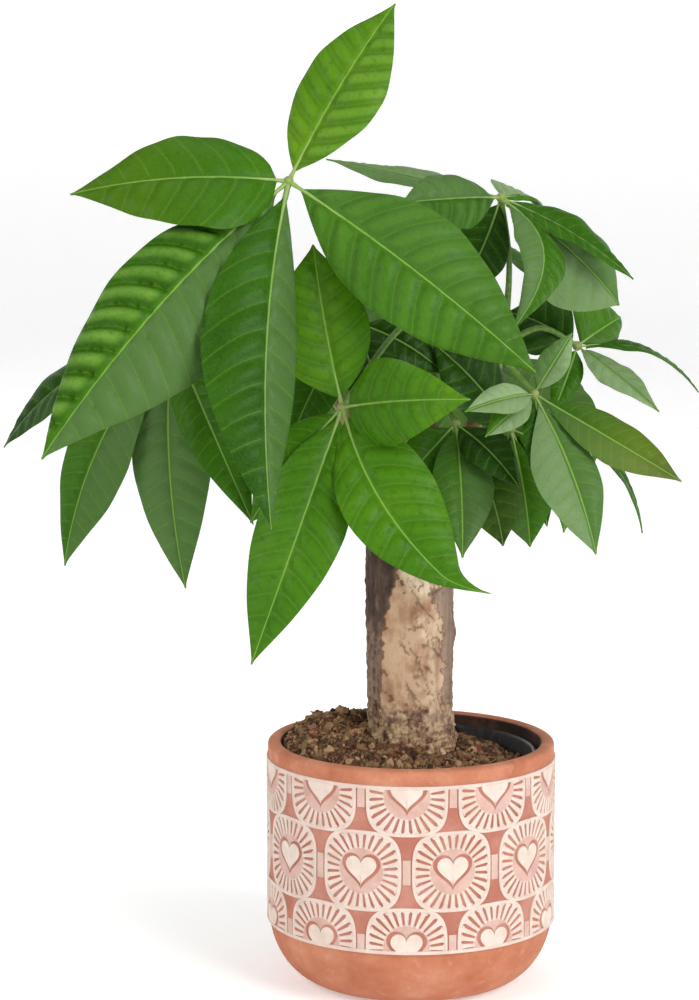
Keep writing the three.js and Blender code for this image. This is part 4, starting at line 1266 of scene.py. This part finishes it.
def leafPiece(name, order, paints):
    spec = leaves[name]
    path, _ = shoots[spec["shoot"]]
    spring = curveThrough(path, 200)[round(spec["foot"] * 200)]
    form = Form()
    line = curveThrough([spring, spec["via"], spec["hub"]], stalk["steps"])
    radii = []
    for share in np.linspace(0, 1, stalk["steps"] + 1):
        radius = stalk["foot"] + (stalk["end"] - stalk["foot"]) * min(share * 2, 1)
        foot = 0.9 * exp(-((share - 0.03) / 0.05) ** 2)  # swollen where it springs, and at its end
        radii.append(radius + foot + 0.5 * ease(0.93, 1, share))
    form.add(*tube(line, radii, stalk["sides"]), 1, share=0.0)
    ball = bmesh.new()
    bmesh.ops.create_icosphere(ball, subdivisions=3, radius=stalk["joint"])
    points = [Vector(spec["hub"]) + v.co * (1 + 0.12 * noise.noise(v.co * 0.9)) for v in ball.verts]
    form.add(points, [[v.index for v in face.verts] for face in ball.faces], 1, share=0.9)
    ball.free()
    draw = random.Random(order * 7 + 1)
    for i, leaflet in enumerate(spec["leaflets"]):
        rib = Midrib(spec["hub"], spec["face"], leaflet)
        leafletBlade(form, rib, leaflet, order * 1.7 + i * 2.3, leaflet.get("tone", draw.random()))
        leafletStem(form, rib, leaflet["wide"])
    return finished(form.made(name.replace("leaf_", "foliage_"), *paints, sharp=60), "leaf", name)


def bladePaint():
    paint = Paint("leafBlade", Specular_IOR_Level=0.09, Coat_Roughness=0.2, Coat_IOR=1.4)
    across, along, vein, share, gap = map(paint.mark, ("across", "along", "vein", "share", "gap"))
    tone, under, worn, bloom, ribs = map(paint.mark, ("tone", "under", "worn", "bloom", "ribs"))
    away = paint.maths("ABSOLUTE", across)
    offVein = paint.maths("PINGPONG", vein, 0.5) * gap  # millimetres from the nearest side vein
    fromMargin = paint.smooth(away, 0.6, 2.4)
    sideVein = paint.smooth(offVein, 0.1, 0.55, 1, 0) * fromMargin
    beside = paint.smooth(offVein, 0.2, 2.6, 1, 0) * fromMargin
    midrib = paint.smooth(away + share * 0.3, 0.25, 0.7, 1, 0)
    flat = paint.node("ShaderNodeCombineXYZ", {}, {"X": across, "Y": along, "Z": tone * 90.0})
    net = paint.node("ShaderNodeTexVoronoi", {"feature": "DISTANCE_TO_EDGE"},
                     {"Vector": flat, "Scale": 0.5}, "Distance")
    mesh = paint.smooth(net, 0.02, 0.14, 1, 0)
    cloud = paint.spots(38, 3, 0.55)
    fine = paint.spots(3.0, 4, 0.6)
    green = paint.ramp(cloud * 0.5 + tone * 0.5, (0.1, (14, 38, 2)), (0.28, (28, 64, 3)),
                       (0.45, (43, 88, 3)), (0.7, (60, 108, 4)), (0.95, (98, 138, 14)))
    # painted shade in the creases along the side veins, and a painted highlight, the sheen, on the crests
    # between them
    crest = paint.smooth(paint.maths("PINGPONG", vein, 0.5), 0.12, 0.5) * paint.smooth(away, 1.0, 5)
    uneven = paint.smooth(cloud * 0.5 + fine * 0.5, 0.36, 0.6, 0.25, 0.9)
    sheen = crest * paint.smooth(ribs, 0.8, 3) * uneven
    green = paint.blend(green, (24, 62, 2), paint.smooth(crest, 0, 0.4, 0.22, 0) * ribs * fromMargin)
    green = paint.blend(green, (118, 156, 66), sheen)
    green = paint.blend(green, (22, 54, 3), paint.smooth(fine, 0.5, 0.75, 0, 0.4))
    # painted sheen: a grey-green laid in patches over the marked halves of a leaflet, paler where the mark
    # is above 1
    sheenColour = paint.blend((72, 102, 52), (138, 160, 118), paint.smooth(bloom, 1, 2))
    sheenShare = paint.smooth(bloom, 0, 1) * paint.smooth(cloud + fine * 0.3, 0.3, 0.75, 0.6, 0.95)
    green = paint.blend(green, sheenColour, sheenShare)
    green = paint.blend(green, (80, 124, 22), beside * 0.1)
    green = paint.blend(green, (66, 112, 18), mesh * 0.14)
    green = paint.blend(green, (104, 144, 48), sideVein * 0.2)
    tired = paint.blend((122, 122, 34), (104, 72, 30), paint.smooth(share + fine * 0.3, 0.8, 1.15))
    green = paint.blend(green, tired, worn * paint.smooth(share + fine * 0.5, 0.35, 1.1))
    green = paint.blend(green, (128, 162, 76), midrib * 0.7)
    pale = paint.blend((84, 122, 54), (122, 154, 84), sideVein * 0.5)
    paint.set("Coat Weight", 0.06 - under * 0.06)
    return paint.cover(paint.blend(green, pale, under), 0.4 + fine * 0.14 + under * 0.2,
                       mesh * -0.5 + sideVein * -0.7 + fine * 0.6, 0.16, 0.7)


def stalkPaint():
    paint = Paint("leafStalk", Roughness=0.5, Specular_IOR_Level=0.45)
    share = paint.mark("share")
    fine = paint.spots(2.2, 4, 0.6)
    green = paint.ramp(fine, (0.35, (74, 112, 34)), (0.65, (112, 144, 60)))
    pale = paint.blend(green, (140, 166, 88), paint.smooth(share, 0.2, 0.6, 0, 0.8))
    joint = paint.blend(pale, (118, 112, 60), paint.smooth(share, 0.7, 0.9, 0, 0.5))
    return paint.cover(joint, 0.42 + fine * 0.2, fine, 0.15, 0.6)


leafPaints = (bladePaint(), stalkPaint())
for order, name in enumerate(leaves):
    leafPiece(name, order, leafPaints)
print("leaves made:", len(leaves))


# a round pale studio: floor, cove and wall in one sheet, soft boxes and the photograph's camera
studio = {
    "floor": 3.2, "cove": 1.0, "wall": 1.5, "sides": 96,
    "world": 0.12, "shade": (250, 250, 250), "glow": (0.3, 0.42), "under": 0.2,
}
boxes = {
    "keyBox": {"place": (1.5, -1.7, 1.5), "size": 1.3, "power": 46},
    "fillBox": {"place": (-1.8, -1.4, 1.8), "size": 1.2, "power": 23},
    "topBox": {"place": (0.1, 0.1, 2.3), "size": 1.5, "power": 13},
    "backBox": {"place": (-0.6, 2.1, 1.4), "size": 1.4, "power": 4},
}
studioAim = (0, 0, 0.2)
photoCamera = {
    "place": (-0.027, -1.400, 0.422), "down": 8.5, "focalPixels": 3257, "longSide": 1000, "sensor": 36,
}


def studioSheet():
    low, high = studio["glow"]  # how much the sheet shines by itself at its floor and above it
    paint = Paint("studioPaper", Roughness=0.9, Specular_IOR_Level=0.1, Emission_Strength=high)
    height = paint.node("ShaderNodeSeparateXYZ", {}, {"Vector": paint.place()}, "Z")
    paint.set("Emission Color", paint.node("ShaderNodeMix", {"data_type": "RGBA"}, {
        0: paint.smooth(height, 0.05, 0.5), 6: (low / high,) * 3 + (1,), 7: (1, 1, 1, 1)}, 2))
    paint.set("Base Color", paint.blend(studio["shade"], (240, 240, 240), paint.spots(900, 1, 0.5)))
    radius, cove, wall = (studio[key] * 1000 for key in ("floor", "cove", "wall"))
    profile = [(1, 0), (radius * 0.1, 0), (radius * 0.5, 0)] + arc(radius, cove, cove, cove, -90, 0, 16)
    profile += [(radius + cove, cove + wall)]
    profile = [(r, z - studio["under"]) for r, z in profile[::-1]]
    points, faces = skin(turned(profile, studio["sides"]), closed=False)
    middle = len(points)
    last = middle - studio["sides"]
    faces += [(middle, last + j, last + (j + 1) % studio["sides"]) for j in range(studio["sides"])]
    form = Form()
    form.add(points + [(0, 0, -studio["under"])], faces)
    sheet = form.made("studioSheet", paint)


def studioLights():
    world = bpy.data.worlds.new("studioWorld")
    world.use_nodes = True
    sky = world.node_tree.nodes["Background"].inputs
    sky["Color"].default_value = (1, 1, 1, 1)
    sky["Strength"].default_value = studio["world"]
    bpy.context.scene.world = world
    for name, box in boxes.items():
        lamp = bpy.data.lights.new(name, "AREA")
        lamp.size, lamp.energy = box["size"], box["power"]
        holder = linked(name, lamp)
        holder.location = box["place"]
        aim = Vector(studioAim) - Vector(box["place"])
        holder.rotation_euler = aim.to_track_quat("-Z", "Y").to_euler()
        holder.visible_camera = False


def studioCamera():
    lens = bpy.data.cameras.new("photoCamera")
    lens.sensor_width = photoCamera["sensor"]
    lens.lens = photoCamera["focalPixels"] * photoCamera["sensor"] / photoCamera["longSide"]
    lens.clip_start = 0.01
    eye = linked("photoCamera", lens)
    eye.location = photoCamera["place"]
    eye.rotation_euler = (radians(90 - photoCamera["down"]), 0, 0)
    bpy.context.scene.camera = eye


studioSheet()
studioLights()
studioCamera()
bpy.context.scene.view_settings.view_transform = "Standard"
print("studio made")
